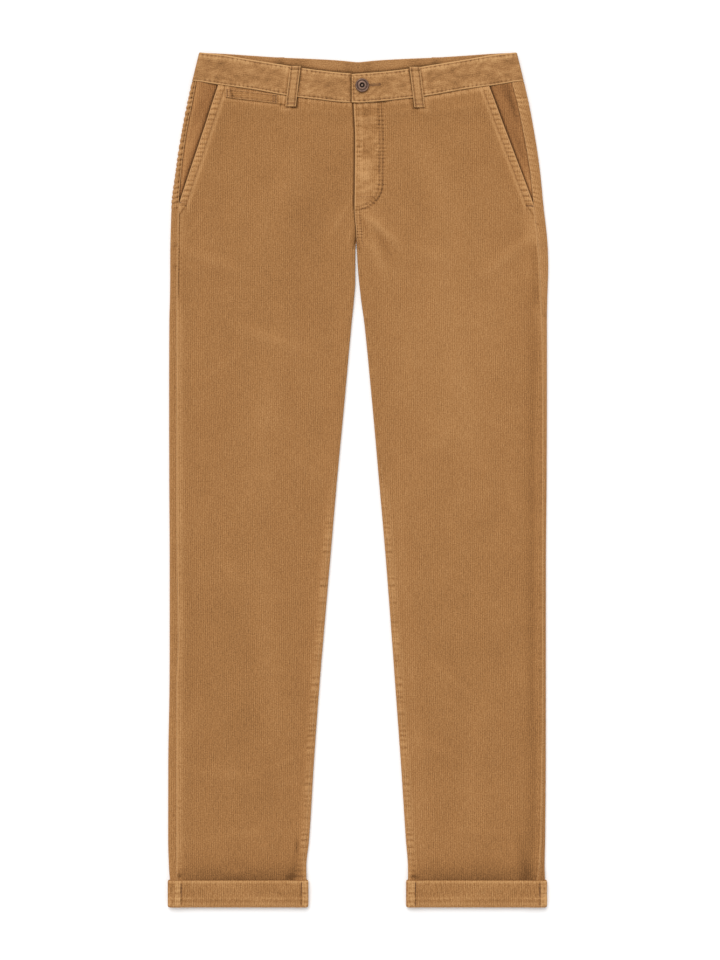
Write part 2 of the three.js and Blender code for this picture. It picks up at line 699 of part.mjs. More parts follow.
function frontBeltLoop({ side, topD, footD }) {
  const top = BAND.frontTop(topD) + LOOP_ABOVE_BAND;
  const foot = BAND.frontSeam(footD) - LOOP_BELOW_SEAM;
  const rows = LOOP_ROWS.map((down) => LOOP_ACROSS.map((across) => {
    const middle = mix(topD, footD, down);
    const d = middle + (across * LOOP_WIDTH) / 2;
    const y = mix(top, foot, down);
    const end = Math.min(down, 1 - down);
    const folded = LOOP_FOLD * (1 - smooth(LOOP_FOLDED.low, LOOP_FOLDED.high, end));
    const inset = LOOP_SIDE_INSET * (Math.abs(across) === 1 || end === 0 ? 1 : 0);
    const bottom = loopRest(side, middle, y) + LAYER_GAP;
    const height = LOOP_CLOTH + folded - inset;
    return place(side, y, { d, z: bottom + height, nd: 0, nz: 1 }, height);
  }));
  return wall(rows);
}

// A belt loop behind lies flat between the waistband and the surface
const BACK_LOOP_CLOTH = 1.2;
const BACK_LOOP_D = 98;

function backBeltLoop(d) {
  const high = BAND.backTop(Math.abs(d)) + LOOP_ABOVE_BAND;
  const low = BAND.backSeam(Math.abs(d)) - LOOP_BELOW_SEAM;
  const rows = [0, 0.5, 1].map((share) => [-1, 0, 1].map((across) => {
    const point = { d: d + (across * LOOP_WIDTH) / 2, z: BACK_LOOP_CLOTH, nd: 0, nz: 1 };
    return place(LEFT, mix(low, high, share), point, BACK_LOOP_CLOTH);
  }));
  return wall(rows);
}

// The tack button: a rim, a groove, a raised ring and a dimple with the head of its pin.
// Its profile is a radius and a height for each point.
const BUTTON = { x: 5.2, y: 488.1, radius: 8.5 };
const BUTTON_SIDES = 24;
const BUTTON_PROFILE = [
  [0, 0],
  [7.6, 0],
  [8.5, 0.6],
  [8.5, 1.7],
  [7.9, 2.4],
  [7.0, 2.5],
  [6.3, 2.0],
  [5.4, 2.0],
  [4.4, 2.7],
  [3.2, 2.7],
  [2.5, 1.6],
  [1.3, 1.5],
  [0.8, 2.2],
  [0, 2.3],
];

function tackButton() {
  const outline = BUTTON_PROFILE.map(([radius, height]) => new THREE.Vector2(radius, height));
  const geometry = new THREE.LatheGeometry(outline, BUTTON_SIDES);
  geometry.rotateX(Math.PI / 2);
  geometry.deleteAttribute("normal");
  geometry.deleteAttribute("uv");
  const points = Array.from(geometry.attributes.position.array);
  return facingOut(points, Array.from(geometry.index.array));
}

const CORDUROY = "#a97849";
const INSIDE_CORDUROY = "#9d6f42";
const WORN_CORDUROY = "#ad7d4f";
const DARK_BRONZE = "#715948";

const trousers = new THREE.Group();

function sew(name, geometry, color, roughness = 0.95, metalness = 0) {
  const material = new THREE.MeshStandardMaterial({ color, roughness, metalness });
  const mesh = new THREE.Mesh(geometry, material);
  mesh.name = name;
  trousers.add(mesh);
  return mesh;
}

for (const side of [RIGHT, LEFT]) {
  sew(`back_${side.name}`, backPanel(side), CORDUROY);
  sew(`yoke_${side.name}`, yoke(side), CORDUROY);
  sew(`front_${side.name}`, frontPanel(side), CORDUROY);
  sew(`pocket_facing_${side.name}`, pocketFacing(side), INSIDE_CORDUROY);
  sew(`waistband_${side.name}`, waistband(side), WORN_CORDUROY);
  sew(`cuff_${side.name}`, cuff(side), WORN_CORDUROY);
  sew(`belt_loop_side_${side.name}`, backBeltLoop(side.sign * BACK_LOOP_D), WORN_CORDUROY);
}
for (const loop of FRONT_LOOPS) {
  sew(`belt_loop_front_${loop.side.name}`, frontBeltLoop(loop), WORN_CORDUROY);
}
sew("belt_loop_back", backBeltLoop(0), WORN_CORDUROY);
sew("coin_pocket_welt", coinPocketWelt(), CORDUROY);
const button = sew("button", tackButton(), DARK_BRONZE, 0.45, 0.9);
button.position.set(BUTTON.x, BUTTON.y, bandTop(LEFT, BUTTON.x) + LAYER_GAP);

export default trousers;
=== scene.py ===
import math
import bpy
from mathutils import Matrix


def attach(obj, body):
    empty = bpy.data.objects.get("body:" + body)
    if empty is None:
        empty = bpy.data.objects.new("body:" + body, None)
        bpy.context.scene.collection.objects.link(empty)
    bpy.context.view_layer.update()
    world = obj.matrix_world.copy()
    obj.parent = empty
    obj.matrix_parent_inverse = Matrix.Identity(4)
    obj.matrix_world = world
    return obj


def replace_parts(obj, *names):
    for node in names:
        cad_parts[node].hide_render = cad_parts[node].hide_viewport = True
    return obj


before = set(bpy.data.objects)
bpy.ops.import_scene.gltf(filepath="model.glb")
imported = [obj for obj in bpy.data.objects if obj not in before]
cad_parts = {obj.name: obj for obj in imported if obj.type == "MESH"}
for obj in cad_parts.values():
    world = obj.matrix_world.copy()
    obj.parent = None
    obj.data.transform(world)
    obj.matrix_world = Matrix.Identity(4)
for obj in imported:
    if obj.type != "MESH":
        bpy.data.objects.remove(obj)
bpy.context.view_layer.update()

from types import SimpleNamespace

import bmesh
import bpy
import numpy as np
from mathutils import Matrix, Vector

# Corduroy trousers with turned-up cuffs, laid flat on their back with the front up.
# The forms below are worked out in millimetres, in the same places as the solids: x towards the
# wearer's left, y towards the waist, z up. Distances called d are measured outwards from the
# middle line, towards the side's own hip.
MM = 0.001

# Cloth and gaps
CLOTH = 1.4
BAND_CLOTH = 2.6
CUFF_CLOTH = 2.2
LOOP_CLOTH = 1.7
SEAM_GAP = 0.3
BAND_GAP = 0.4
LAYER_GAP = 0.4

# Heights of the laid cloth, above its own underside
FLAT_HEIGHT = 2 * CLOTH + LAYER_GAP + 0.1
SIDE_HEIGHT = 6.2
INSEAM_HEIGHT = 5.4
CUFFED_SIDE_HEIGHT = 4.4
CUFFED_INSEAM_HEIGHT = 4.2
CENTRE_HEIGHT = 4.5
FLY_RAISE = 0.9
SIDE_RISE_REACH = 24
INSEAM_RISE_REACH = 20
ALLOWANCE_RAISE = 0.5
ALLOWANCE_WIDTH = 7.4
BAND_SEAM_RISE = 0.6
SIDE_ROUND = 3.2
INSEAM_ROUND = 2.8
CUFFED_ROUND = 2.2
INSEAM_RUN = 0.6

# Down the legs the felled seams are drawn so close that only a hairline parts the panels
CLOSE_GAP = 0.06
CLOSE_ROLL = 0.3

# Levels above the surface
BAND_LEVEL = 1.5
CUFF_CLEAR = 0.35
CUFF_LEVEL = CUFF_CLOTH + CUFF_CLEAR
BAND_LEVEL_LOW, BAND_LEVEL_HIGH = 440, 462
CUFF_LEVEL_LOW, CUFF_LEVEL_HIGH = -496, -468

# Lengths along the garment
LEG_END = -527
CUFF_END = -530
CUFF_TOP = -496.3
FORK_LOW, FORK_HIGH = 284, 302
KNEE_LOW, KNEE_HIGH = -70, 25
FLARE_LOW, FLARE_HIGH = -498, -462
POCKET_FOOT = 341

# The slanted pockets
POCKET_LAP = 14
POCKET_SPARE = 1
POCKET_HEM = 9.5
POCKET_HEM_RAISE = 0.8
POCKET_HEM_SLOPE = 2
POCKET_LIFT = CLOTH + 0.35
POCKET_START = 15

# The fly
FLY_WIDTH = 33
FLY_FOOT = 336
FLY_CURVE = 31
FLY_SLOPE = 4
FLY_BAR = 351

# Above the fork the back panel's inner edge barely turns up, by this angle and length
LEAST_TURN = 0.22
LEAST_RUN = 0.12


def mix(start, end, share):
    return start + (end - start) * share


def smooth(low, high, value):
    share = np.clip((value - low) / (high - low), 0, 1)
    return share * share * (3 - 2 * share)


def fade(distance, reach):
    return 1 - smooth(0, reach, distance)


def hump(distance, width):
    return np.exp(-((distance / width) ** 2))


def between(low, high, value, soft=1.0):
    """1 from low to high and 0 outside, with soft shoulders"""
    return smooth(low - soft, low + soft, value) * (1 - smooth(high - soft, high + soft, value))


def curve(places, values):
    """A smooth curve through a table's rows that never swings past them"""
    places, values = np.array(places, float), np.array(values, float)
    slopes = np.diff(values) / np.diff(places)
    before, after = slopes[:-1], slopes[1:]
    same_way = before * after > 0
    total = np.where(same_way, before + after, 1)
    middle = np.where(same_way, 2 * before * after / total, 0)
    tangents = np.concatenate([slopes[:1], middle, slopes[-1:]])

    def at(place):
        place = np.clip(place, places[0], places[-1])
        i = np.clip(np.searchsorted(places, place, side="right") - 1, 0, len(places) - 2)
        step = places[i + 1] - places[i]
        t = (place - places[i]) / step
        start = values[i] + t * t * (3 - 2 * t) * (values[i + 1] - values[i])
        return start + step * t * (1 - t) * ((1 - t) * tangents[i] - t * tangents[i + 1])

    return at


def table(columns, *rows):
    places = [row[0] for row in rows]
    made = {name: curve(places, [row[i + 1] for row in rows]) for i, name in enumerate(columns[1:])}
    return SimpleNamespace(**made)


# The leg's outline for each height: the outer edge, the side seam and the inner edge. The two
# sides differ a little in how hard their seams are pulled and how far their cloth has faded.
OUTLINE_COLUMNS = ("y", "outer", "seam", "inner")
RIGHT = SimpleNamespace(
    name="right",
    sign=-1,
    outline=table(
        OUTLINE_COLUMNS,
        (CUFF_END, 233.45, 224.6, 64.0),
        (-497, 233.45, 224.6, 64.0),
        (-480, 234.6, 224.4, 64.2),
        (-447, 235.6, 224.4, 60.8),
        (-348, 235.4, 224.4, 54.6),
        (-254, 233.9, 224.4, 47.8),
        (-199, 233.7, 222.6, 43.2),
        (-100, 233.7, 223.9, 34.7),
        (0, 234.2, 224.2, 26.0),
        (99, 234.4, 224.4, 16.6),
        (198, 234.1, 224.4, 7.6),
        (223, 233.4, 224.4, 5.0),
        (246, 233.1, 224.1, 3.4),
        (284, 233.0, 223.6, 3.3),
        (302, 232.6, 223.4, 2.4),
        (341, 231.2, 222.2, 2.4),
        (384, 225.9, 218.9, 2.4),
        (434, 218.2, 212.0, 2.4),
        (467, 211.4, 205.2, 2.4),
        (494, 205.8, 200.2, 2.4),
        (530, 197.0, 192.0, 2.4),
    ),
    mouth=SimpleNamespace(foot=222.2, top=173.6, top_y=488.3),
    pinches=(291, 265),
    pulled=1.0,
    scallops=0.55,
    inner_roll=0.5,
    facing_folds=0.62,
    facing_tone=0.22,
)
LEFT = SimpleNamespace(
    name="left",
    sign=1,
    outline=table(
        OUTLINE_COLUMNS,
        (CUFF_END, 231.9, 222.6, 62.1),
        (-497, 231.9, 222.6, 62.1),
        (-480, 231.6, 224.6, 62.0),
        (-447, 232.2, 226.9, 59.5),
        (-348, 233.0, 228.6, 53.0),
        (-254, 233.1, 229.2, 46.2),
        (-199, 233.1, 229.2, 42.2),
        (-100, 233.2, 229.2, 34.7),
        (0, 234.0, 229.5, 26.0),
        (99, 234.4, 229.4, 17.2),
        (198, 234.4, 228.0, 7.4),
        (223, 234.8, 226.4, 3.9),
        (266, 236.0, 224.4, -0.4),
        (284, 235.6, 223.2, -1.3),
        (302, 234.4, 221.8, -2.0),
        (341, 230.0, 217.8, -2.0),
        (384, 225.7, 213.0, -2.0),
        (434, 218.2, 204.4, -2.0),
        (467, 211.8, 197.4, -2.0),
        (494, 205.8, 190.4, -2.0),
        (530, 197.0, 183.0, -2.0),
    ),
    mouth=SimpleNamespace(foot=217.8, top=162.9, top_y=487.0),
    pinches=(318, 206),
    pulled=0.45,
    scallops=0.1,
    inner_roll=1.0,
    facing_folds=0.35,
    facing_tone=-0.34,
)
SIDES = (RIGHT, LEFT)

# The middle line above the crotch, as an x: the seat seam behind, the crotch seam and fly in front
MIDDLE = table(
    ("y", "back", "front"),
    (284, -2.3, -2.3),
    (302, -2.2, -2.2),
    (336, -0.8, -4.6),
    (351, 0.0, -4.4),
    (421, 0.0, -3.7),
    (467, 0.0, -5.7),
)

# The waistband's long edges, in front and behind, for each d
BAND = table(
    ("d", "front_top", "front_seam", "back_top", "back_seam"),
    (0, 503.0, 466.8, 518.0, 482.0),
    (26, 505.0, 468.6, 520.5, 484.5),
    (48, 507.6, 471.2, 521.8, 485.8),
    (70, 510.5, 473.6, 522.8, 486.8),
    (90, 513.8, 476.6, 523.6, 487.6),
    (132, 520.6, 484.0, 526.2, 490.2),
    (170, 527.0, 489.2, 528.8, 492.6),
    (200, 530.0, 494.0, 530.0, 494.0),
)
BAND_SIDE_SEAM, BAND_SIDE_TOP = 205.8, 197.0
YOKE_SEAM = table(("d", "y"), (0, 420), (200, 468))

# Soft folds of the fronts, each with its middle, its size and the angle it runs at.
# The first sixteen are the solids' own, and the rest are smaller creases.
FOLD_COLUMNS = ("x", "y", "length", "width", "height", "angle")
FOLD_ROWS = (
    (-187, 274, 92, 15, 1.3, -21),
    (-109, 175, 86, 16, 1.3, -20),
    (-118, 60, 210, 34, 0.9, 82),
    (-156, -118, 60, 18, 0.8, -60),
    (-110, -230, 220, 32, 0.9, 95),
    (-160, -366, 70, 18, 0.7, -4),
    (-90, 365, 130, 34, 0.8, 66),
    (181, 275, 84, 15, 1.2, 34),
    (24, 316, 50, 11, 1.2, -44),
    (17, 284, 66, 11, 1.0, -66),
    (92, 280, 60, 17, 1.0, -20),
    (125, 120, 190, 34, 0.9, 98),
    (108, 56, 60, 26, 0.6, 30),
    (114, -246, 86, 12, 0.7, -42),
    (140, -380, 170, 30, 0.8, 84),
    (95, 370, 120, 32, 0.8, 112),
)
CREASE_ROWS = (
    (12, 323, 26, 4, 0.5, -34),
    (9, 309, 28, 4, 0.45, -54),
    (26, 315, 52, 13, 0.9, -42),
    (40, 306, 40, 8, 0.7, -50),
    (21, 290, 56, 8, 1.1, -70),
    (7, 276, 60, 5, 0.7, -84),
    (-9, 306, 34, 5, 0.9, 77),
    (-24, 322, 44, 8, 0.7, 58),
    (44, 408, 50, 7, 0.35, 68),
    (-206, 262, 40, 6, 0.4, -35),
    (-200, 318, 34, 6, 0.35, 48),
    (203, 296, 44, 6, 0.4, 38),
    (196, 326, 30, 5, 0.35, -40),
    (60, 458, 60, 7, 0.35, 14),
    (22, 452, 34, 6, 0.4, 22),
    (-50, 458, 70, 8, 0.35, -9),
    (-128, 464, 70, 7, 0.3, -8),
    (128, 462, 70, 7, 0.35, 10),
    (-70, 20, 60, 10, 0.35, -35),
    (-190, -40, 50, 9, 0.3, 68),
    (-90, -350, 60, 9, 0.35, 24),
    (-140, -440, 70, 10, 0.35, 4),
    (-205, -300, 60, 8, 0.3, 74),
    (60, 20, 56, 9, 0.3, 40),
    (190, -20, 60, 9, 0.3, -70),
    (90, -330, 64, 9, 0.35, -24),
    (150, -436, 80, 10, 0.35, -5),
    (205, -250, 60, 8, 0.3, -78),
    (170, 70, 70, 10, 0.3, -30),
    (-170, 140, 60, 9, 0.3, 34),
)
FOLD_CUFF_LOW, FOLD_CUFF_HIGH = -480, -440


def named(columns, row):
    return SimpleNamespace(**dict(zip(columns, row)))


FOLDS = [named(FOLD_COLUMNS, row) for row in FOLD_ROWS]
CREASES = [named(FOLD_COLUMNS, row) for row in CREASE_ROWS]


def heaped(x, y, folds):
    """The height of all the folds together, each a soft ridge or, below 0, a hollow"""
    height = 0
    for fold in folds:
        turn = math.radians(fold.angle)
        along = (x - fold.x) * math.cos(turn) + (y - fold.y) * math.sin(turn)
        across = (y - fold.y) * math.cos(turn) - (x - fold.x) * math.sin(turn)
        height = height + fold.height * hump(2 * along, fold.length) * hump(2 * across, fold.width)
    return height


def fold_height(x, y, folds):
    return heaped(x, y, folds) * smooth(FOLD_CUFF_LOW, FOLD_CUFF_HIGH, y)


def level(y):
    """How far the underside is off the surface: 0 but at the waistband and inside the cuffs"""
    at_band = BAND_LEVEL * smooth(BAND_LEVEL_LOW, BAND_LEVEL_HIGH, y)
    return at_band + CUFF_LEVEL * (1 - out_of_cuff(y))


def out_of_cuff(y):
    return smooth(CUFF_LEVEL_LOW, CUFF_LEVEL_HIGH, y)


def below_knee(y):
    """1 down the shins, where the inseam's felled allowance shows, and 0 up the thighs"""
    return 1 - smooth(KNEE_LOW, KNEE_HIGH, y)


def below_fork(y):
    return 1 - smooth(FORK_LOW, FORK_HIGH, y)


def side_height(y):
    return mix(CUFFED_SIDE_HEIGHT, SIDE_HEIGHT, out_of_cuff(y))


def inseam_height(y):
    return mix(CUFFED_INSEAM_HEIGHT, INSEAM_HEIGHT, out_of_cuff(y))


def side_round(y):
    return mix(CUFFED_ROUND, SIDE_ROUND, out_of_cuff(y))


def inseam_round(y):
    return mix(CUFFED_ROUND, INSEAM_ROUND, out_of_cuff(y))


def inseam_turn(y):
    return mix(LEAST_TURN, math.pi, below_fork(y))


def inseam_run(y):
    return mix(LEAST_RUN, INSEAM_RUN, below_fork(y))


def inner_limit(side, y, face):
    middle = side.sign * getattr(MIDDLE, face)(y) + SEAM_GAP / 2
    return mix(side.outline.inner(y), middle, 1 - below_fork(y))


def turn_middle(side, y):
    turned = np.minimum(inseam_turn(y), math.pi / 2)
    return inner_limit(side, y, "back") + inseam_round(y) * np.sin(turned)


def back_point(side, part, share, y):
    """A place on the back panel's section: its d and z, and the way its face looks"""
    outer_middle = side.outline.outer(y) - side_round(y)
    inner_middle = turn_middle(side, y)
    bottom = level(y)
    flat = np.zeros_like(y)
    if part == "under":
        return mix(inner_middle, outer_middle, share), bottom, flat, flat - 1
    if part == "outer run":
        end = side.outline.seam(y) + CLOSE_GAP / 2
        return mix(outer_middle, end, share), bottom + side_height(y), flat, flat + 1
    if part == "outer round":
        angle = math.pi * share + flat
        half = side_height(y) / 2
        d = outer_middle + side_round(y) * np.sin(angle)
        return d, bottom + half * (1 - np.cos(angle)), np.sin(angle), -np.cos(angle)
    run = inseam_run(y) * share if part == "inner run" else 0
    angle = inseam_turn(y) * (1 if part == "inner run" else share)
    half = inseam_height(y) / 2
    d = inner_middle - inseam_round(y) * np.sin(angle) - run * np.cos(angle)
    z = bottom + half * (1 - np.cos(angle)) + run * np.sin(angle)
    return d, z, -np.sin(angle), -np.cos(angle)


def front_inner(side, y):
    turn = inseam_turn(y)
    limit = inner_limit(side, y, "front")
    share = (turn - LEAST_TURN) / (math.pi / 2 - LEAST_TURN)
    above = limit + (CLOTH + SEAM_GAP) * share
    inside = (inseam_round(y) - CLOTH) * np.sin(turn)
    gap = mix(SEAM_GAP, CLOSE_GAP, below_fork(y))
    below = turn_middle(side, y) - inside - inseam_run(y) * np.cos(turn) + gap
    return np.where(turn < math.pi / 2, above, below)


def mouth_line(side, y):
    mouth = side.mouth
    return mix(mouth.foot, mouth.top, (y - POCKET_FOOT) / (mouth.top_y - POCKET_FOOT))


def front_outer(side, y):
    seam = side.outline.seam(y) - CLOSE_GAP / 2
    return np.where(y < POCKET_FOOT, seam, np.minimum(seam, mouth_line(side, y)))


def on_pocket(y):
    return smooth(POCKET_FOOT - POCKET_START, POCKET_FOOT, y)


def seam_height(y):
    low = side_height(y) - POCKET_LIFT * on_pocket(y)
    return mix(low, SIDE_HEIGHT, smooth(POCKET_FOOT, POCKET_FOOT + 2 * POCKET_START, y))


def resting_height(side, d, y):
    from_seam = side.outline.seam(y) - d
    from_inner = d - front_inner(side, y)
    inner_top = mix(inseam_height(y), CENTRE_HEIGHT, 1 - below_fork(y))
    outer_rise = (seam_height(y) - FLAT_HEIGHT) * fade(from_seam, SIDE_RISE_REACH)
    inner_rise = (inner_top - FLAT_HEIGHT) * fade(from_inner, INSEAM_RISE_REACH)
    return level(y) + FLAT_HEIGHT + outer_rise + inner_rise


def fly_raise(side, d, y):
    from_edge = d - front_inner(side, y)
    low = np.clip((FLY_FOOT + FLY_CURVE - y) / FLY_CURVE, 0, 1)
    curved = np.sqrt(1 - low**2)
    return FLY_RAISE * curved * fade(from_edge - FLY_WIDTH * curved, FLY_SLOPE) * (side is LEFT)


def front_plain(side, d, y):
    """The front panel's outer face without its stitched edges"""
    from_mouth = front_outer(side, y) - d
    pocket = POCKET_LIFT * on_pocket(y) * fade(from_mouth - POCKET_LAP - POCKET_SPARE, POCKET_LAP)
    seam_rise = BAND_SEAM_RISE * smooth(BAND_LEVEL_LOW, BAND_LEVEL_HIGH + POCKET_START, y)
    folds = fold_height(side.sign * d, y, FOLDS) * smooth(0, INSEAM_ROUND, d - front_inner(side, y))
    return resting_height(side, d, y) + pocket + seam_rise + folds * smooth(0, POCKET_HEM, from_mouth)


# The left inseam's felled allowance is narrower, and the same all the way down
LEFT_FLARE = 0.84


def flare(side, y):
    """The felled allowance of the right inseam is wider, and spreads to double above the cuff"""
    return 2 - smooth(FLARE_LOW, FLARE_HIGH, y) if side is RIGHT else LEFT_FLARE


def front_top(side, d, y):
    from_mouth = front_outer(side, y) - d
    from_inner = d - front_inner(side, y)
    hem = POCKET_HEM_RAISE * on_pocket(y) * fade(from_mouth - POCKET_HEM, POCKET_HEM_SLOPE)
    felled = ALLOWANCE_RAISE * out_of_cuff(y) * below_knee(y)
    beyond = from_inner - ALLOWANCE_WIDTH * flare(side, y)
    ridge = felled * fade(beyond, POCKET_HEM_SLOPE) * smooth(0, CLOTH, from_inner)
    return front_plain(side, d, y) + hem + ridge + fly_raise(side, d, y)


# The waistband's heights and the ends of its two halves, of which the left one laps over
BAND_FRONT_HEIGHT = 7.5
BAND_SIDE_HEIGHT = 6.6
BAND_LAP_END = -7.8
BAND_UNDERLAP_END = -20
BAND_LAP = SimpleNamespace(step=2.35, low=24, high=46)
BAND_UNDERLAP = SimpleNamespace(step=-0.6, low=8.6, high=12)


def band_top(side, d):
    lap = BAND_LAP if side is LEFT else BAND_UNDERLAP
    at_side = BAND_LEVEL + BAND_SIDE_HEIGHT - BAND_FRONT_HEIGHT
    side_rise = at_side * fade(BAND_SIDE_TOP - SIDE_ROUND - d, SIDE_RISE_REACH)
    return BAND_FRONT_HEIGHT + side_rise + lap.step * (1 - smooth(lap.low, lap.high, d))


# The coin pocket's welt and the belt loops in front
WELT = SimpleNamespace(outer=163.5, inner=100.5, outer_top=485, inner_top=477.6, width=11, cloth=1.2)
LOOP_WIDTH = 13
LOOP_BELOW_SEAM = 13
LOOP_ABOVE_BAND = 0.6
LOOP_FOLD = 0.9
LOOP_FOLDED_LOW, LOOP_FOLDED_HIGH = 0.07, 0.1
LOOP_STEP_LOW, LOOP_STEP_HIGH = 8, 1.5
FRONT_LOOPS = (
    SimpleNamespace(side=RIGHT, top=77.5, foot=83.5),
    SimpleNamespace(side=LEFT, top=70.4, foot=76.4),
)

# Sewing: how the cloth lies at each kind of seam. The thread draws it in, so it ripples between
# low and high from the seam, it stands up by lift, and each row of stitches sinks a groove.
# The ripples' crests are painted lighter and their troughs darker, as painted light and shade, the
# whole is made paler by light, and the grooves are painted darker, as painted shade.
SEWN_COLUMNS = ("pitch", "ripple", "rungs", "low", "high", "lift", "grooves", "depth", "light", "start")
SEWN_ROWS = {
    "pocket_mouth": (5.9, 0.55, 0.5, 1.6, 8.6, 0.0, (1.9, 9.0), 0.42, 0.24, 0.4),
    "front_side": (7.1, 0.25, 0.3, -1.0, 6.0, 0.0, (), 0.0, 0.22, 1.9),
    "waist": (7.3, 0.35, 0.3, -1.0, 6.5, 0.0, (), 0.0, 0.0, 2.7),
    "inseam": (7.2, 0.42, 0.42, -4.0, 6.6, 0.3, (), 0.0, 0.13, 3.1),
    "crotch": (3.5, 0.3, 0.36, 0.6, 8.2, 0.25, (1.4, 6.6), 0.4, 0.22, 4.3),
    "fly_edge": (6.2, 0.36, 0.4, 0.8, 9.0, 0.0, (), 0.0, 0.05, 5.2),
    "fly": (4.7, 0.3, 0.26, -7.5, 6.0, 0.0, (-2.6, 1.6), 0.42, -0.04, 6.6),
    "back_side": (6.9, 0.5, 0.6, 0.6, 9.0, 0.0, (1.9,), 0.34, 0.1, 0.8),
    "band_edge": (5.4, 0.26, 0.26, 0.8, 6.0, 0.0, (2.5,), 0.34, 0.1, 2.2),
    "welt": (6.3, 0.15, 0.16, 1.0, 10.0, 0.0, (1.6,), 0.2, 0.05, 3.7),
    "cuff_seam": (4.0, 0.2, 0.2, -2.5, 2.5, 0.0, (0.0,), 0.5, -0.1, 1.4),
    "cuff_end": (5.6, 0.25, 0.4, -7.5, -0.5, 0.35, (), 0.0, 0.35, 5.9),
    "yoke": (3.9, 0.3, 0.3, -4.4, 4.4, 0.3, (-5.0, 5.0), 0.4, 0.1, 4.9),
}
SEWN = {name: named(SEWN_COLUMNS, row) for name, row in SEWN_ROWS.items()}
GROOVE_WIDTH = 0.8
GROOVE_SHADE = 1.25
GROOVE_BEAT = 0.3
TROUGH_SHARPNESS = 3.2

# How a rippled seam wavers: two slow waves along it, and its size, each with a pace of its own
RIPPLE = SimpleNamespace(near=0.9, near_pace=0.173, far=0.7, far_pace=0.071)
RIPPLE_SIZE = SimpleNamespace(middle=0.74, change=0.26, pace=0.117)


def ripple(along, pitch, start):
    """An uneven wave from -1 to 1, as cloth drawn in by a thread"""
    turns = 2 * math.pi * along / pitch
    wander = RIPPLE.near * np.sin(RIPPLE.near_pace * turns + start)
    wander = wander + RIPPLE.far * np.sin(RIPPLE.far_pace * turns + 2 * start)
    size = RIPPLE_SIZE.middle + RIPPLE_SIZE.change * np.sin(RIPPLE_SIZE.pace * turns + 3 * start)
    crest = 1 - 2 * (0.5 - 0.5 * np.sin(turns + wander)) ** TROUGH_SHARPNESS
    return crest * size


def sewn(kind, distance, along):
    """The rise of the cloth at a seam and the change in its tone, with painted light on the ripples'
    crests and painted shade in their troughs and grooves
    """
    seam = SEWN[kind]
    wave = ripple(along, seam.pitch, seam.start)
    inside = between(seam.low, seam.high, distance)
    grooves = sum(hump(distance - groove, GROOVE_WIDTH) for groove in seam.grooves)
    rise = (seam.ripple * wave + seam.lift) * inside - seam.depth * grooves
    beat = 1 - GROOVE_BEAT * (1 + wave)
    return rise, (seam.light + seam.rungs * wave) * inside - GROOVE_SHADE * beat * grooves


# The radius that a folded edge is rolled over
ROLL = 0.8


def rolled(distance, radius=ROLL):
    """How far a folded edge falls away over its last little way"""
    near = np.clip(distance, 0, radius)
    return radius - np.sqrt(np.maximum(radius**2 - (radius - near) ** 2, 0))


# How creases bend: by bend over bend_length, and across them by cross_bend over cross_length
CRUMPLE = SimpleNamespace(bend=1.9, bend_length=1.7, cross=0.8, cross_bend=1.4, cross_length=1.3)

# The creases of doubled cloth, on the fly and the waistband, their crests painted lighter and their
# hollows darker by the tone, as painted light and shade
CRUMPLED_COLUMNS = ("rise", "tone", "size", "start")
CRUMPLED_ROWS = {
    "fly_broad": (0.26, 0.3, 5.2, 2.4),
    "fly_fine": (0.12, 0.22, 3.1, 0.9),
    "band_wave": (0.22, 0.132, 11, 0.0),
    "band_drag": (0.22, 0.275, 6.0, 1.4),
    "band_fine": (0.2, 0.17, 2.6, 0.5),
}


def crumpled(kind, a, b, start=0):
    """Small uneven creases over places given by a and b, as a rise and a tone"""
    creases = named(CRUMPLED_COLUMNS, CRUMPLED_ROWS[kind])
    size, start = creases.size, creases.start + start
    bend = CRUMPLE.bend * np.sin(b / (CRUMPLE.bend_length * size) + start)
    cross_bend = CRUMPLE.cross_bend * np.sin(a / (CRUMPLE.cross_length * size))
    height = np.sin(a / size + bend) * np.sin(b / (CRUMPLE.cross * size) + cross_bend + 2 * start)
    return np.stack([creases.rise * height, creases.tone * height])


# The slow unevenness of cloth that has been washed and laid down by hand: broad swells and dips
# among them, each as lengths across and along, with how far and over what length they bend
SWELL = SimpleNamespace(rise=0.26, x=21, y=47, bend_x=33, bend_y=61, aside=1.4, ahead=0.9, start=0.7)
DIP = SimpleNamespace(rise=0.1, x=8.7, y=17, slant_x=41, slant_y=29, bend_y=37, aside=1.7, start=2.1)


def sway(x, y):
    broad = np.sin(x / SWELL.x + SWELL.aside * np.sin(y / SWELL.bend_y) + SWELL.start)
    broad = broad * np.sin(y / SWELL.y + SWELL.ahead * np.sin(x / SWELL.bend_x))
    small = np.sin(x / DIP.x + y / DIP.slant_y + DIP.aside * np.sin(y / DIP.bend_y))
    small = small * np.sin(y / DIP.y + x / DIP.slant_x + DIP.start)
    return SWELL.rise * broad + DIP.rise * small


def fly_distance(side, d, y):
    from_edge = d - front_inner(side, y)
    middle = FLY_FOOT + FLY_CURVE
    low = np.minimum(y - middle, 0)
    size = (FLY_WIDTH + FLY_CURVE) / 2
    curved = size * (np.sqrt((from_edge / FLY_WIDTH) ** 2 + (low / FLY_CURVE) ** 2) - 1)
    return np.where(y > middle, from_edge - FLY_WIDTH, curved)
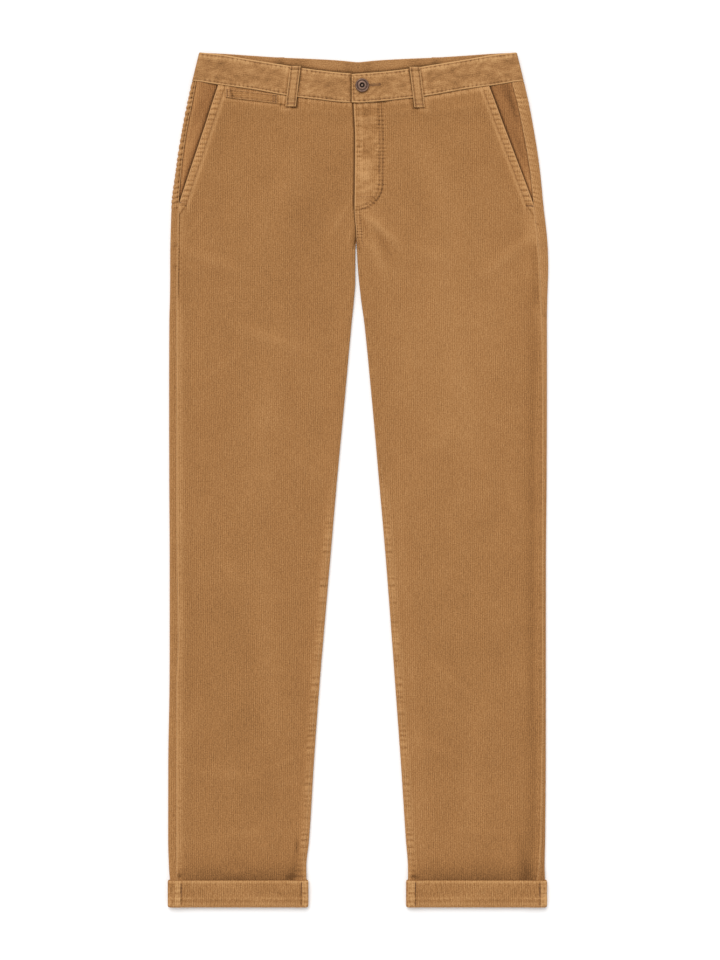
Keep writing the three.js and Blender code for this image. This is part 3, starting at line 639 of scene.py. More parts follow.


# Lines of wear and of painted light and shade. Where one layer ends on another, the corner is
# painted darker, as painted shade, and along edges, rolls and ridges the tone is paler, partly
# painted highlight and partly pile rubbed pale. The columns are the tone, the distance from the
# edge to the line's middle, and the line's width.
LINE_ROWS = {
    "under_band": (1.0, 0.0, 1.1),
    "band_roll": (0.3, 2.6, 2.0),
    "left_band_roll": (0.3, 3.6, 3.0),
    "lap_end": (-1.6, 0.0, 2.0),
    "band_top": (1.15, 0.3, 1.6),
    "under_band_top": (0.38, 4.0, 2.6),
    "band_foot": (1.2, 0.3, 1.4),
    "band_end": (0.45, 0.0, 1.5),
    "band_faded": (0.32, 152.0, 20.0),
    "band_faded_up": (1.0, 8.0, 8.0),
    "over_front_band": (-1.2, 0.0, 3.0),
    "back_band_top": (0.5, 0.0, 1.2),
    "loop_fly_side": (-1.9, 0.0, 1.7),
    "loop_hip_side": (-0.4, 0.0, 1.0),
    "beside_loop": (0.45, 3.0, 3.0),
    "loop_edge": (1.1, 0.0, 0.9),
    "loop_groove": (1.0, 1.9, 0.7),
    "loop_end": (0.6, 0.0, 1.0),
    "loop_end_sewn": (-0.7, 4.2, 0.8),
    "loop_end_pale": (0.3, 5.8, 0.9),
    "round_welt": (-0.35, 0.0, 1.2),
    "under_welt": (0.5, 2.2, 1.5),
    "welt_edge": (0.8, 0.3, 1.4),
    "welt_tab_seam": (-1.3, 0.0, 0.9),
    "tab_seam": (-0.7, -5.0, 0.8),
    "tab_foot": (-0.98, 11.6, 0.9),
    "side_edge": (1.0, 0.5, 0.6),
    "mouth_edge": (0.8, 0.0, 1.3),
    "mouth_rim": (1.2, 1.6, 1.4),
    "mouth_stitched": (0.4, 9.0, 1.0),
    "mouth_hem": (0.6, 11.6, 2.2),
    "slanted_foot": (-0.75, 0.0, 1.0),
    "level_foot": (-0.8, 1.0, 0.9),
    "in_mouth": (-1.5, 0.0, 2.4),
    "under_mouth": (-0.3, 0.0, 7.0),
    "in_mouth_less_shade": (1.0, 3.0, 4.5),
    "facing_ridge": (0.35, 2.6, 1.2),
    "right_facing_seam": (-1.1, 0.0, 1.0),
    "left_facing_seam": (-0.35, 0.0, 1.0),
    "pricks": (-1.7, 1.6, 0.7),
    "side_faded": (0.18, 5.0, 5.0),
    "side_pale": (0.2, 8.6, 3.0),
    "side_dark": (-0.22, 2.4, 2.2),
    "hip_dark": (-0.5, 4.0, 8.0),
    "hip_faded": (0.26, 8.0, 8.0),
    "thigh_dark": (-0.27, 12.0, 8.0),
    "inseam_edge": (0.25, 0.0, 1.4),
    "right_allowance_light": (0.1, 8.4, 1.6),
    "left_allowance_light": (0.3, 7.0, 1.5),
    "left_shin": (0.13, 15.0, 10.0),
    "fly_rim": (1.9, 0.0, 1.2),
    "fly_faded": (0.45, 10.0, 10.0),
    "fly_foot": (-0.6, 1.6, 0.9),
    "fly_bar": (-0.3, 0.0, 0.8),
    "near_streak": (0.5, 8.5, 1.8),
    "far_streak": (0.3, 14.0, 1.5),
    "under_fly_rim": (-2.6, 0.0, 1.4),
    "crotch_corner": (-0.9, 0.0, 1.2),
    "yoke_ridge": (0.8, 3.7, 0.8),
    "right_ridge": (0.55, 0.4, 0.7),
    "left_ridge": (0.35, 0.4, 0.7),
    "right_dents": (-0.05, 2.4, 0.8),
    "left_dents": (0.25, 2.4, 1.1),
    "beads": (1.25, 1.2, 0.9),
    "beside_beads": (0.4, 4.5, 2.0),
    "pinch": (1.0, 0.0, 1.5),
    "pinch_reach": (1.0, 2.0, 4.0),
    "cuff_crease_pale": (0.3, -518.8, 1.6),
    "cuff_crease_dark": (-0.35, -521.6, 1.2),
    "cuff_top": (0.75, -1.2, 1.5),
    "over_cuff_fold": (-0.4, 2.0, 1.2),
    "cuff_foot": (0.4, 3.0, 4.0),
    "cuff_fold": (0.5, 0.3, 1.4),
}

# Stretches of the garment. The columns are low, high and how soft the shoulders are.
SPAN_ROWS = {
    "pricks": (228, 336, 10),
    "less_faded": (215, 290, 10),
    "side_pale": (-300, 110, 50),
    "hip_dark": (218, 292, 12),
    "fly_edge": (376, 456, 14),
    "fly_faded": (336, 400, 7),
    "fly_bar": (0, 21, 1),
    "near_streak": (372, 470, 18),
    "far_streak": (360, 430, 18),
    "slanted_foot": (0.08, 1, 0.08),
    "tab_across": (-10, -1, 0.8),
    "tab_down": (-2, 10.6, 0.8),
    "tab_foot": (-11, 0, 1),
    "tab_lines": (-2, 14, 1),
}

# Changes along the garment, with the place where each begins and the one where it's complete
CHANGE_ROWS = {
    "left_band_roll": (60, 85),
    "hip": (160, 270),
    "upper_thigh": (140, 220),
    "side_ripples": (100, 300),
    "fork_cloth": (300, 330),
    "fly_foot": (FLY_FOOT - 3, FLY_FOOT + 3),
    "fly_sewing": (FLY_FOOT - 8, FLY_FOOT),
    "fly_foot_dark": (FLY_FOOT - 8, FLY_FOOT - 4),
    "under_fly": (FLY_FOOT - 4, FLY_FOOT + 8),
    "fly_stitches": (0, 4),
    "fly_width": (FLY_WIDTH - 5, FLY_WIDTH),
    "strip_ripples": (330, 348),
    "beads": (338, 348),
    "scallops": (325, 350),
    "left_strip": (-200, 320),
    "open_mouth": (0.5, 4),
    "facing_folds": (1, 6),
    "facing_less_shade": (385, 445),
    "band_forward": (0.5, 1),
    "band_end_sewing": (0.06, 0.12),
    "band_corner": (0.8, 1),
    "back_band_shade": (60, 150),
    "back_band_puckers": (0.8, 3),
    "welt_tab": (0.8, 2),
}


def line(distance, *names):
    """The tone of one or more lines of wear, of painted shade and of painted highlight, from the
    distance to their edge
    """
    rows = [LINE_ROWS[name] for name in names]
    return sum(tone * hump(distance - middle, width) for tone, middle, width in rows)


def painted_corner_shade(distance, *names):
    """The same for painted shade in a corner, as dark as it gets all the way under the layer"""
    return line(np.clip(distance, 0, None), *names)


def turning_line(distance, first, second, share):
    """The tone of a line that turns from one kind into another along the garment"""
    tone, middle, width = (mix(a, b, share) for a, b in zip(LINE_ROWS[first], LINE_ROWS[second]))
    return tone * hump(distance - middle, width)


def within(name, value):
    low, high, soft = SPAN_ROWS[name]
    return between(low, high, value, soft)


def past(name, value):
    return smooth(*CHANGE_ROWS[name], value)


# The cloth is painted darker just above the cuffs, as painted shade where the leg goes into the cuff
CUFF_SHADE = SimpleNamespace(tone=-0.62, reach=20, middle=140, width=90, least=0.5)


def cuff_shade(d, y):
    across = mix(CUFF_SHADE.least, 1, hump(d - CUFF_SHADE.middle, CUFF_SHADE.width))
    return CUFF_SHADE.tone * hump(np.clip(y - CUFF_TOP, 0, None), CUFF_SHADE.reach) * across


BAND_SHADE = SimpleNamespace(tone=-0.15, change=0.25, pitch=8.3, start=0.6)


def under_band(side, waist, d):
    """The painted shade in the seam's corner under the waistband, and the roll of cloth below it painted
    paler, as painted highlight
    """
    dark = BAND_SHADE.tone + BAND_SHADE.change * ripple(d, BAND_SHADE.pitch, BAND_SHADE.start)
    roll = line(waist, "band_roll")
    if side is LEFT:
        roll = roll + line(waist, "left_band_roll") * past("left_band_roll", d)
    return dark * painted_corner_shade(waist, "under_band") + roll


def beside_loop(off, below=-LOOP_WIDTH):
    """The painted shade in the corners beside a belt loop, which is deep only on the side towards the
    fly, with painted light beside it on the other side
    """
    outside = np.maximum(np.abs(off) - LOOP_WIDTH / 2, below)
    pale = painted_corner_shade(outside, "loop_hip_side") + line(outside, "beside_loop")
    return np.where(off > 0, pale, painted_corner_shade(outside, "loop_fly_side"))


def beside_loops(side, d, y):
    shade = 0
    for loop in FRONT_LOOPS:
        if loop.side is side:
            high = BAND.front_top(loop.top)
            low = BAND.front_seam(loop.foot) - LOOP_BELOW_SEAM
            middle = mix(loop.foot, loop.top, (y - low) / (high - low))
            shade = shade + beside_loop(d - middle, low - y)
    return shade


TAB_TONE = 0.4


def beside_welt(side, d, y):
    """The painted shade round the coin pocket's welt, painted light below its foot, and the stitched tab
    at its inner end
    """
    if side is LEFT:
        return 0
    past_end = d - WELT.inner
    share = (WELT.outer - d) / (WELT.outer - WELT.inner)
    down = mix(WELT.outer_top, WELT.inner_top, share) - y
    outside = np.maximum(down - WELT.width, np.maximum(d - WELT.outer, -past_end))
    shade = painted_corner_shade(outside, "round_welt") * (down > 0)
    shade = shade + line(outside, "under_welt") * (down > WELT.width)
    tab = TAB_TONE * within("tab_across", past_end) * within("tab_down", down)
    seams = line(past_end, "tab_seam") + line(down, "tab_foot") * within("tab_foot", past_end)
    return shade + tab + seams * within("tab_lines", down)


# How much paler the crests of creases and of broad folds are painted, for each mm that they stand
# up, as painted highlight
CREST_HIGHLIGHT = 0.28
FOLD_HIGHLIGHT = 0.15

# Broad places that are paler or darker, as rows like those of the folds, with a tone for height:
# faded cloth, and painted shade in the crotch and at the corners and creases above the cuffs
PATCH_ROWS = (
    (112, 170, 330, 190, 0.14, 84),
    (20, 395, 150, 34, 0.13, 90),
    (-140, -300, 340, 170, -0.1, 88),
    (140, -330, 300, 150, -0.05, 92),
    (-60, 330, 190, 70, -0.1, 80),
    (-80, -490, 46, 14, -0.5, 78),
    (205, -476, 70, 14, -0.35, 95),
    (-2, 296, 28, 9, -0.75, 90),
    (36, 311, 18, 6, -0.35, -45),
    (-76, -455, 22, 5, -0.6, 88),
    (-222, -490, 9, 5, -0.8, 0),
    (-84, -492, 9, 5, -0.7, 0),
    (70, -492, 9, 5, -0.8, 0),
    (-152, -484, 30, 9, 0.2, 0),
    (12, 306, 30, 8, -0.3, -60),
    (34, 290, 50, 9, -0.22, -62),
)
PATCHES = [named(FOLD_COLUMNS, row) for row in PATCH_ROWS]

# The fly's creases: how they are squeezed together across it, slant, and are stretched along it
FLY_CREASES = SimpleNamespace(squeeze=0.8, slant=0.5, stretch=1.4)


def fly_creases(side, d, y):
    """The rise and tone of the fly's thick cloth, which creases across and by its stitches"""
    from_stitches = -fly_distance(side, d, y)
    inside = past("fly_stitches", from_stitches) * (1 - past("fly_width", from_stitches))
    slanted = y + FLY_CREASES.slant * from_stitches
    broad = crumpled("fly_broad", FLY_CREASES.squeeze * from_stitches, slanted)
    fine = crumpled("fly_fine", from_stitches, FLY_CREASES.stretch * y)
    return broad + fine, inside * past("fork_cloth", y)


def foot_shade(from_outer, y):
    """The dark lines round the three-cornered foot of a slanted pocket, painted shade in its creases"""
    share = (y - POCKET_FOOT + POCKET_START) / POCKET_START
    slanted = line(from_outer - POCKET_HEM * share, "slanted_foot") * within("slanted_foot", share)
    return slanted + line(y - POCKET_FOOT, "level_foot") * between(0, POCKET_HEM, from_outer)


# Small dents beside the upper part of the right side seam, where the needle went in, painted darker as
# painted shade
PRICKS = SimpleNamespace(pitch=3.7, start=2.6)
LESS_FADED = 1.3


def beside_seam(side, from_outer, y):
    """The paler and darker lines of a front along the side seam, uneven on the wearer's left, and on the
    right the painted shade of the needle's dents
    """
    if side is RIGHT:
        pricked = 0.5 + 0.5 * ripple(y, PRICKS.pitch, PRICKS.start)
        faded = line(from_outer, "side_faded") * (1 - LESS_FADED * within("less_faded", y))
        return faded + line(from_outer, "pricks") * pricked * within("pricks", y)
    hip = past("hip", y)
    tone = line(from_outer, "hip_faded") * hip + line(from_outer, "thigh_dark") * (1 - hip)
    tone = tone + line(from_outer, "side_pale") * within("side_pale", y)
    tone = tone + line(from_outer, "side_dark") * (1 - past("upper_thigh", y))
    return tone + line(from_outer, "hip_dark") * within("hip_dark", y)


def beside_inseam(side, from_inner, y):
    """How the edge of the inseam and of its felled allowance are painted paler down the shins, partly as
    painted light on the allowance's slope and beside the seam, and partly as fading
    """
    faded = line(from_inner, "inseam_edge")
    if side is RIGHT:
        faded = faded + line(from_inner / flare(side, y), "right_allowance_light")
    else:
        faded = faded + line(from_inner, "left_allowance_light", "left_shin")
    return faded * below_knee(y)


FLY_FOOT_FADE = 12
STREAK = SimpleNamespace(middle=0.6, change=0.4, length=9, bend=2, bend_length=23)


def on_fly(side, d, y):
    """The fly's pale edge and streaks, partly painted highlight and partly wear, its dark foot, and the
    painted shade on the cloth that it laps over
    """
    from_inner = d - front_inner(side, y)
    above_fork = 1 - below_fork(y)
    if side is RIGHT:
        shade = line(from_inner, "under_fly_rim") * past("under_fly", y)
        return shade + line(from_inner, "crotch_corner") * above_fork
    foot = fade(y - FLY_FOOT - FLY_CURVE, FLY_FOOT_FADE) * past("fly_foot_dark", y)
    tone = line(from_inner, "fly_rim") * above_fork + line(fly_distance(side, d, y), "fly_foot") * foot
    tone = tone + line(from_inner, "fly_faded") * within("fly_faded", y)
    tone = tone + line(y - FLY_BAR, "fly_bar") * within("fly_bar", from_inner)
    bend = STREAK.bend * np.sin(y / STREAK.bend_length)
    streak = STREAK.middle + STREAK.change * np.sin(y / STREAK.length + bend)
    for name in ("near_streak", "far_streak"):
        tone = tone + line(from_inner, name) * within(name, y) * streak * past("fly_foot", y)
    return tone


# The side seam's ripples at the knee and at the hip, and how far in from the edges the cloth is plain
SIDE_RIPPLES = (0.6, 0.35)
PLAIN_EDGE = 12


def front_look(side, d, y):
    """The rise and tone that sewing and wear give a front panel, with its painted light and shade"""
    x = side.sign * d
    from_outer = front_outer(side, y) - d
    from_inner = d - front_inner(side, y)
    waist = BAND.front_seam(d) - y
    pocket = on_pocket(y)
    above_fork = 1 - below_fork(y)
    above_fly = past("fly_foot", y)
    side_ripples = mix(*SIDE_RIPPLES, past("side_ripples", y))
    parts = [
        (sewn("waist", waist, d), 1),
        (sewn("pocket_mouth", from_outer, y), pocket),
        (sewn("front_side", from_outer, y), (1 - pocket) * side_ripples),
        (sewn("inseam", from_inner / flare(side, y), y), below_knee(y)),
    ]
    if side is LEFT:
        parts += [
            (sewn("crotch", from_inner, y), above_fork * (1 - above_fly)),
            (sewn("fly_edge", from_inner, y), above_fly * within("fly_edge", y)),
            (sewn("fly", fly_distance(side, d, y), y), past("fly_sewing", y)),
            fly_creases(side, d, y),
        ]
    rise, tone = (sum(part[i] * weight for part, weight in parts) for i in range(2))
    rise = rise - rolled(from_outer, mix(CLOSE_ROLL, ROLL, pocket))
    rise = rise - side.inner_roll * rolled(from_inner) * above_fork
    inward = smooth(0, PLAIN_EDGE, np.minimum(from_outer, from_inner))
    creases = fold_height(x, y, CREASES)
    rise = rise + inward * (sway(x, y) + creases)
    tone = tone + turning_line(from_outer, "side_edge", "mouth_edge", pocket)
    tone = tone + line(from_outer, "mouth_rim", "mouth_stitched", "mouth_hem") * pocket
    tone = tone + beside_seam(side, from_outer, y) * (1 - pocket)
    tone = tone + beside_inseam(side, from_inner, y) + on_fly(side, d, y)
    tone = tone + CREST_HIGHLIGHT * inward * creases + FOLD_HIGHLIGHT * fold_height(x, y, FOLDS)
    tone = tone + heaped(x, y, PATCHES) + foot_shade(from_outer, y) + cuff_shade(d, y)
    tone = tone + under_band(side, waist, d) + beside_loops(side, d, y) + beside_welt(side, d, y)
    return rise, tone


def front_face(side, d, y):
    return front_top(side, d, y) + front_look(side, d, y)[0]


# The strips: their ripples slant, and below the yoke they keep only a little of them. The left
# one has beads of cloth between its stitches and is darker towards the foot.
# Ridges, beads and the yoke seam's ridges are painted paler, as painted highlight on raised cloth, and
# the pinches darker, as painted shade in their hollows
STRIP = SimpleNamespace(slant=0.35, low_ripples=0.14, ridge_rise=0.4, tone=0.04, foot=-0.36, top=0.16)
BEADS = SimpleNamespace(slant=0.4, pitch=5.6, start=1.3, pale=0.22)
PINCH = SimpleNamespace(slant=0.4, rise=-0.3, tone=-0.55)


def strip_look(side, d, y):
    """The rise and tone of the back's strip, between the side seam and the edge"""
    from_seam = d - side.outline.seam(y)
    from_yoke = y - YOKE_SEAM.y(d)
    rise, tone = sewn("back_side", from_seam, y + STRIP.slant * from_seam)
    yoke_rise, yoke_tone = sewn("yoke", from_yoke, d)
    pulled = mix(STRIP.low_ripples, 1, past("strip_ripples", y)) * side.pulled
    ridge = line(from_seam, f"{side.name}_ridge")
    pinched = sum(line(y + PINCH.slant * from_seam - pinch, "pinch") for pinch in side.pinches)
    pinched = pinched * line(from_seam, "pinch_reach")
    tone = tone * pulled + ridge + yoke_tone + PINCH.tone * pinched + STRIP.tone
    tone = tone + line(from_seam, f"{side.name}_dents") + line(np.abs(from_yoke), "yoke_ridge")
    if side is LEFT:
        beat = 0.5 * ripple(y + BEADS.slant * from_seam, BEADS.pitch, BEADS.start)
        beads = line(from_seam, "beads") * (beat + BEADS.pale) + line(from_seam, "beside_beads") * beat
        tone = tone + beads * past("beads", y) + mix(STRIP.foot, STRIP.top, past("left_strip", y))
    return rise * pulled + ridge * STRIP.ridge_rise + yoke_rise + PINCH.rise * pinched, tone


# A piece of cloth from points
CLOTH_MAP = "cloth"
SHARP_ANGLE = 55
WELD = 0.00001

# Where on the cloth each piece is cut from: how far its map is shifted, in millimetres
MAP_SHIFT = SimpleNamespace(yoke=1.1, facing=0.7, waistband=0.4)

# The height at which the search for a slanting seam begins
SEAM_GUESS = 450.0


def mesh_of(form, name):
    """Turns a form into a mesh and lets go of the form"""
    mesh = bpy.data.meshes.new(name)
    form.to_mesh(mesh)
    form.free()
    return mesh


def arranged(mesh, rows, columns, points):
    """Puts a flat grid's points where they belong, by the row and column that each one marks"""
    count = len(mesh.vertices)
    flat = np.zeros(3 * count, np.float32)
    mesh.vertices.foreach_get("co", flat)
    flat = flat.reshape(-1, 3)
    low, high = flat.min(axis=0), flat.max(axis=0)
    column = np.rint((flat[:, 0] - low[0]) / (high[0] - low[0]) * (columns - 1)).astype(int)
    row = np.rint((flat[:, 1] - low[1]) / (high[1] - low[1]) * (rows - 1)).astype(int)
    layer = np.zeros(count, int)
    if high[2] - low[2] > 0:
        layer = (flat[:, 2] < (low[2] + high[2]) / 2).astype(int)
    placed = points[layer, row, column] * MM
    mesh.vertices.foreach_set("co", placed.astype(np.float32).ravel())
    return layer, row, column


def facing_out(mesh):
    """Turns a closed mesh's faces outwards"""
    mesh.calc_loop_triangles()
    places = np.zeros(3 * len(mesh.vertices), np.float32)
    mesh.vertices.foreach_get("co", places)
    corners = np.zeros(3 * len(mesh.loop_triangles), np.int32)
    mesh.loop_triangles.foreach_get("vertices", corners)
    a, b, c = (places.reshape(-1, 3)[corners[i::3]].astype(float) for i in range(3))
    if (a * np.cross(b, c)).sum() < 0:
        mesh.flip_normals()


def piece_of(name, mesh, material):
    mesh.shade_smooth()
    mesh.set_sharp_from_angle(angle=math.radians(SHARP_ANGLE))
    mesh.materials.append(material)
    made = bpy.data.objects.new(name, mesh)
    bpy.context.scene.collection.objects.link(made)
    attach(made, "root")
    return made


def cloth(name, points, across, along, tone, material, inside=None, weld=False):
    """A closed wall of cloth. points holds the outer grid, and the inner one unless the outer is
    closed on itself and only welded. across and along are lengths over the cloth."""
    layers, rows, columns = points.shape[:3]
    form = bmesh.new()
    bmesh.ops.create_grid(form, x_segments=columns - 1, y_segments=rows - 1, size=1)
    if layers == 2:
        under = bmesh.ops.extrude_face_region(form, geom=form.faces[:], use_keep_orig=True)
        low = [part for part in under["geom"] if isinstance(part, bmesh.types.BMVert)]
        bmesh.ops.translate(form, verts=low, vec=(0, 0, -1))
        bmesh.ops.recalc_face_normals(form, faces=form.faces[:])
    mesh = mesh_of(form, name)
    layer, row, column = arranged(mesh, rows, columns, points)
    corners = np.zeros(len(mesh.loops), np.int32)
    mesh.loops.foreach_get("vertex_index", corners)
    lengths = np.stack([across[row, column], along[row, column]], axis=1)[corners] * MM
    mesh.uv_layers.new(name=CLOTH_MAP).data.foreach_set("uv", lengths.astype(np.float32).ravel())
    tones = mesh.attributes.new("tone", "FLOAT", "POINT")
    behind = 0 * tone if inside is None else inside
    marked = np.where(layer == 0, tone[row, column], behind[row, column])
    tones.data.foreach_set("value", marked.astype(np.float32))
    if weld:
        form = bmesh.new()
        form.from_mesh(mesh)
        bmesh.ops.remove_doubles(form, verts=form.verts[:], dist=WELD)
        form.to_mesh(mesh)
        form.free()
    mesh.update()
    facing_out(mesh)
    return piece_of(name, mesh, material)


def steps(low, high, size):
    return np.linspace(low, high, max(2, int(round(abs(high - low) / size)) + 1))


def joined(*lists):
    """Lists of places put together, each place once"""
    return np.unique(np.round(np.concatenate(lists), 4))


def lengths_over(d, z):
    """How far over the cloth each place of a row lies from the row's first one"""
    far = np.cumsum(np.hypot(np.diff(d), np.diff(z)), axis=-1)
    return np.concatenate([0 * d[..., :1], far], axis=-1)


MEETING_ROUNDS = 12


def meeting(column, seam, start):
    """The height at which each column of points meets a slanting seam"""
    y = start
    for _ in range(MEETING_ROUNDS):
        y = seam(column(y))
    return y


# Finishes. The colours are of the cloth as it looks under white light.


def linear(colour):
    """The linear numbers of an sRGB hex colour, with full alpha"""
    parts = [int(colour[i : i + 2], 16) / 255 for i in (1, 3, 5)]
    made = [part / 12.92 if part <= 0.04045 else ((part + 0.055) / 1.055) ** 2.4 for part in parts]
    return (*made, 1.0)


def add(tree, kind, values=None, links=None, **settings):
    """Adds a node with its settings, its sockets' values and its links"""
    made = tree.nodes.new("ShaderNode" + kind)
    for name, value in settings.items():
        setattr(made, name, value)
    for socket, value in (values or {}).items():
        made.inputs[socket].default_value = value
    for socket, source in (links or {}).items():
        tree.links.new(source, made.inputs[socket])
    return made.outputs


def new_material(name):
    material = bpy.data.materials.new(name)
    material.use_nodes = True
    tree = material.node_tree
    tree.nodes.clear()
    return material, tree


# Fine-wale cotton corduroy, dyed as a finished garment and washed. The ribs of cut pile run along
# the cloth 1.8 mm apart, which is finer than the picture can show, so they are drawn 2.3 mm apart.
# The eye sees fine up-and-down streaks, a dull soft nap, cloudy fading over a few centimetres,
# lighter crests and edges, partly painted highlight and partly wear, and darker sewn grooves, painted
# shade.
WALE = 2.3 * MM
WALE_HEIGHT = 0.42 * MM
STREAK_ACROSS = 1.45 * MM
STREAK_ALONG = 10 * MM
CLOUD = 46 * MM
SPOT = 15 * MM
NAP = 1.45 * MM

# The ribs wander by drift over a few centimetres, more slowly along them than across
RIB_DRIFT = 3.5 * MM
DRIFT_PACE = (40, 12, 1)

# How much each pattern changes the tone: faded clouds, smaller spots and the short grain of the nap.
# The nap also roughens the ribs' height.
CLOUD_TONE = 0.3
SPOT_TONE = 0.1
NAP_TONE = 1.05
NAP_HEIGHT = 0.28
RIB_MIDDLE = 0.64


def corduroy(name, plain, light, dark, rib_tone=0.32, streak_tone=0.56, height=WALE_HEIGHT):
    material, tree = new_material(name)
    over = add(tree, "UVMap", uv_map=CLOTH_MAP)
    place = add(tree, "SeparateXYZ", links={0: over[0]})
    scaled = add(tree, "Mapping", {"Scale": DRIFT_PACE}, {"Vector": over[0]})
    drift = add(tree, "TexNoise", {"Scale": 1.0, "Detail": 1.0}, {"Vector": scaled[0]})
    shift = add(tree, "Math", {1: 0.5}, {0: drift[0]}, operation="SUBTRACT")
    moved = add(tree, "Math", {1: RIB_DRIFT}, {0: shift[0], 2: place[0]}, operation="MULTIPLY_ADD")
    turns = add(tree, "Math", {1: math.pi / WALE}, {0: moved[0]}, operation="MULTIPLY")
    wave = add(tree, "Math", links={0: turns[0]}, operation="SINE")
    rib = add(tree, "Math", links={0: wave[0]}, operation="ABSOLUTE")
    streak_pace = (1 / STREAK_ACROSS, 1 / STREAK_ALONG, 1)
    long_way = add(tree, "Mapping", {"Scale": streak_pace}, {"Vector": over[0]})
    streaks = {"Scale": 1.0, "Detail": 1.0, "Roughness": 0.6}
    streak = add(tree, "TexNoise", streaks, {"Vector": long_way[0]}, noise_dimensions="2D")
    where = add(tree, "TexCoord")
    cloud = add(tree, "TexNoise", {"Scale": 1 / CLOUD, "Detail": 2.0}, {"Vector": where["Object"]})
    spot = add(tree, "TexNoise", {"Scale": 1 / SPOT, "Detail": 2.0}, {"Vector": where["Object"]})
    naps = {"Scale": 1 / NAP, "Detail": 0.0}
    nap = add(tree, "TexNoise", naps, {"Vector": over[0]}, noise_dimensions="2D")
    # The tone attribute holds each piece's wear and fading together with its painted light and shade
    tone = add(tree, "Attribute", attribute_name="tone")
    total = tone["Fac"]
    for source, strength, middle in (
        (rib[0], rib_tone, RIB_MIDDLE),
        (streak[0], streak_tone, 0.5),
        (cloud[0], CLOUD_TONE, 0.5),
        (spot[0], SPOT_TONE, 0.5),
        (nap[0], NAP_TONE, 0.5),
    ):
        away = add(tree, "Math", {1: middle}, {0: source}, operation="SUBTRACT")
        total = add(tree, "Math", {1: strength}, {0: away[0], 2: total}, operation="MULTIPLY_ADD")[0]
    share = add(tree, "MapRange", {"From Min": -1.0, "From Max": 1.0}, {"Value": total})
    ramp = add(tree, "ValToRGB", links={"Fac": share[0]})
    stops = tree.nodes[-1].color_ramp.elements
    stops[0].color = linear(dark)
    stops[1].color = linear(light)
    stops.new(0.5).color = linear(plain)
    pile = add(tree, "Math", {1: NAP_HEIGHT}, {0: nap[0], 2: rib[0]}, operation="MULTIPLY_ADD")
    bump = add(tree, "Bump", {"Strength": 1.0, "Distance": height}, {"Height": pile[0]})
    finish = {
        "Roughness": 0.92,
        "IOR": 1.5,
        "Specular IOR Level": 0.25,
        "Sheen Weight": 0.22,
        "Sheen Roughness": 0.55,
        "Sheen Tint": linear(light),
    }
    shader = add(tree, "BsdfPrincipled", finish, {"Base Color": ramp["Color"], "Normal": bump[0]})
    add(tree, "OutputMaterial", links={"Surface": shader[0]})
    return material


LEG_CORDUROY = corduroy("washed_corduroy", "#a27141", "#c79662", "#684421")
BAND_CORDUROY = corduroy("worn_corduroy", "#a37446", "#c99b67", "#694724", 0.1, 0.4, 0.4 * WALE_HEIGHT)
FACING_CORDUROY = corduroy("pocket_corduroy", "#9b693c", "#c18d58", "#5c3b1c")


# Core-spun polyester sewing thread, dyed with the cloth: fine, round and slightly lustrous, with
# flecks about a millimetre apart where the twist catches the light
THREAD = SimpleNamespace(flecks=900.0, dark_end=0.3, light_end=0.7, dark=0.7, light=1.25)


def thread(name, colour):
    material, tree = new_material(name)
    where = add(tree, "TexCoord")
    fleck = add(tree, "TexNoise", {"Scale": THREAD.flecks, "Detail": 1.0}, {"Vector": where["Object"]})
    ramp = add(tree, "ValToRGB", links={"Fac": fleck[0]})
    stops = tree.nodes[-1].color_ramp.elements
    for stop, place, strength in (
        (stops[0], THREAD.dark_end, THREAD.dark),
        (stops[1], THREAD.light_end, THREAD.light),
    ):
        stop.position = place
        stop.color = tuple(strength * part for part in linear(colour)[:3]) + (1.0,)
    finish = {"Roughness": 0.6, "IOR": 1.5, "Sheen Weight": 0.1}
    shader = add(tree, "BsdfPrincipled", finish, {"Base Color": ramp["Color"]})
    add(tree, "OutputMaterial", links={"Surface": shader[0]})
    return material


TAN_THREAD = thread("tan_thread", "#966639")
BROWN_THREAD = thread("brown_thread", "#714824")
PALE_THREAD = thread("pale_thread", "#c0915d")


# Antique brass plating on a pressed steel button: dull brown metal, darker in its grooves, with
# a fine cloudy tarnish and rubbed paler on its rims
TARNISH = SimpleNamespace(scale=260.0, tone=0.9, depth=0.2 * MM)


def aged_bronze(name):
    material, tree = new_material(name)
    where = add(tree, "TexCoord")
    cloud = add(tree, "TexNoise", {"Scale": TARNISH.scale, "Detail": 3.0}, {"Vector": where["Object"]})
    tone = add(tree, "Attribute", attribute_name="tone")
    away = add(tree, "Math", {1: 0.5}, {0: cloud[0]}, operation="SUBTRACT")
    total = add(tree, "Math", {1: TARNISH.tone}, {0: away[0], 2: tone["Fac"]}, operation="MULTIPLY_ADD")
    share = add(tree, "MapRange", {"From Min": -1.0, "From Max": 1.0}, {"Value": total[0]})
    ramp = add(tree, "ValToRGB", links={"Fac": share[0]})
    stops = tree.nodes[-1].color_ramp.elements
    stops[0].color = linear("#1d1511")
    stops[1].color = linear("#b0947e")
    stops.new(0.5).color = linear("#70564a")
    bump = add(tree, "Bump", {"Strength": 0.25, "Distance": TARNISH.depth}, {"Height": cloud[0]})
    finish = {"Metallic": 0.85, "Roughness": 0.48}
    shader = add(tree, "BsdfPrincipled", finish, {"Base Color": ramp["Color"], "Normal": bump[0]})
    add(tree, "OutputMaterial", links={"Surface": shader[0]})
    return material


BRONZE = aged_bronze("antique_brass")

# Rows of points from a low to a high place by a step, closer together at the hips, where the cloth
# ripples most
LEG_ROWS = joined(
    steps(LEG_END, -498, 7),
    steps(-498, -440, 2.2),
    steps(-440, 210, 3.0),
    steps(210, 404, 1.15),
)
TOP_SHARES = steps(0, 1, 0.0145)[1:]
BACK_FOOT_END = 371
BACK_FOOT_ROWS = joined(LEG_ROWS[LEG_ROWS < BACK_FOOT_END], [BACK_FOOT_END])

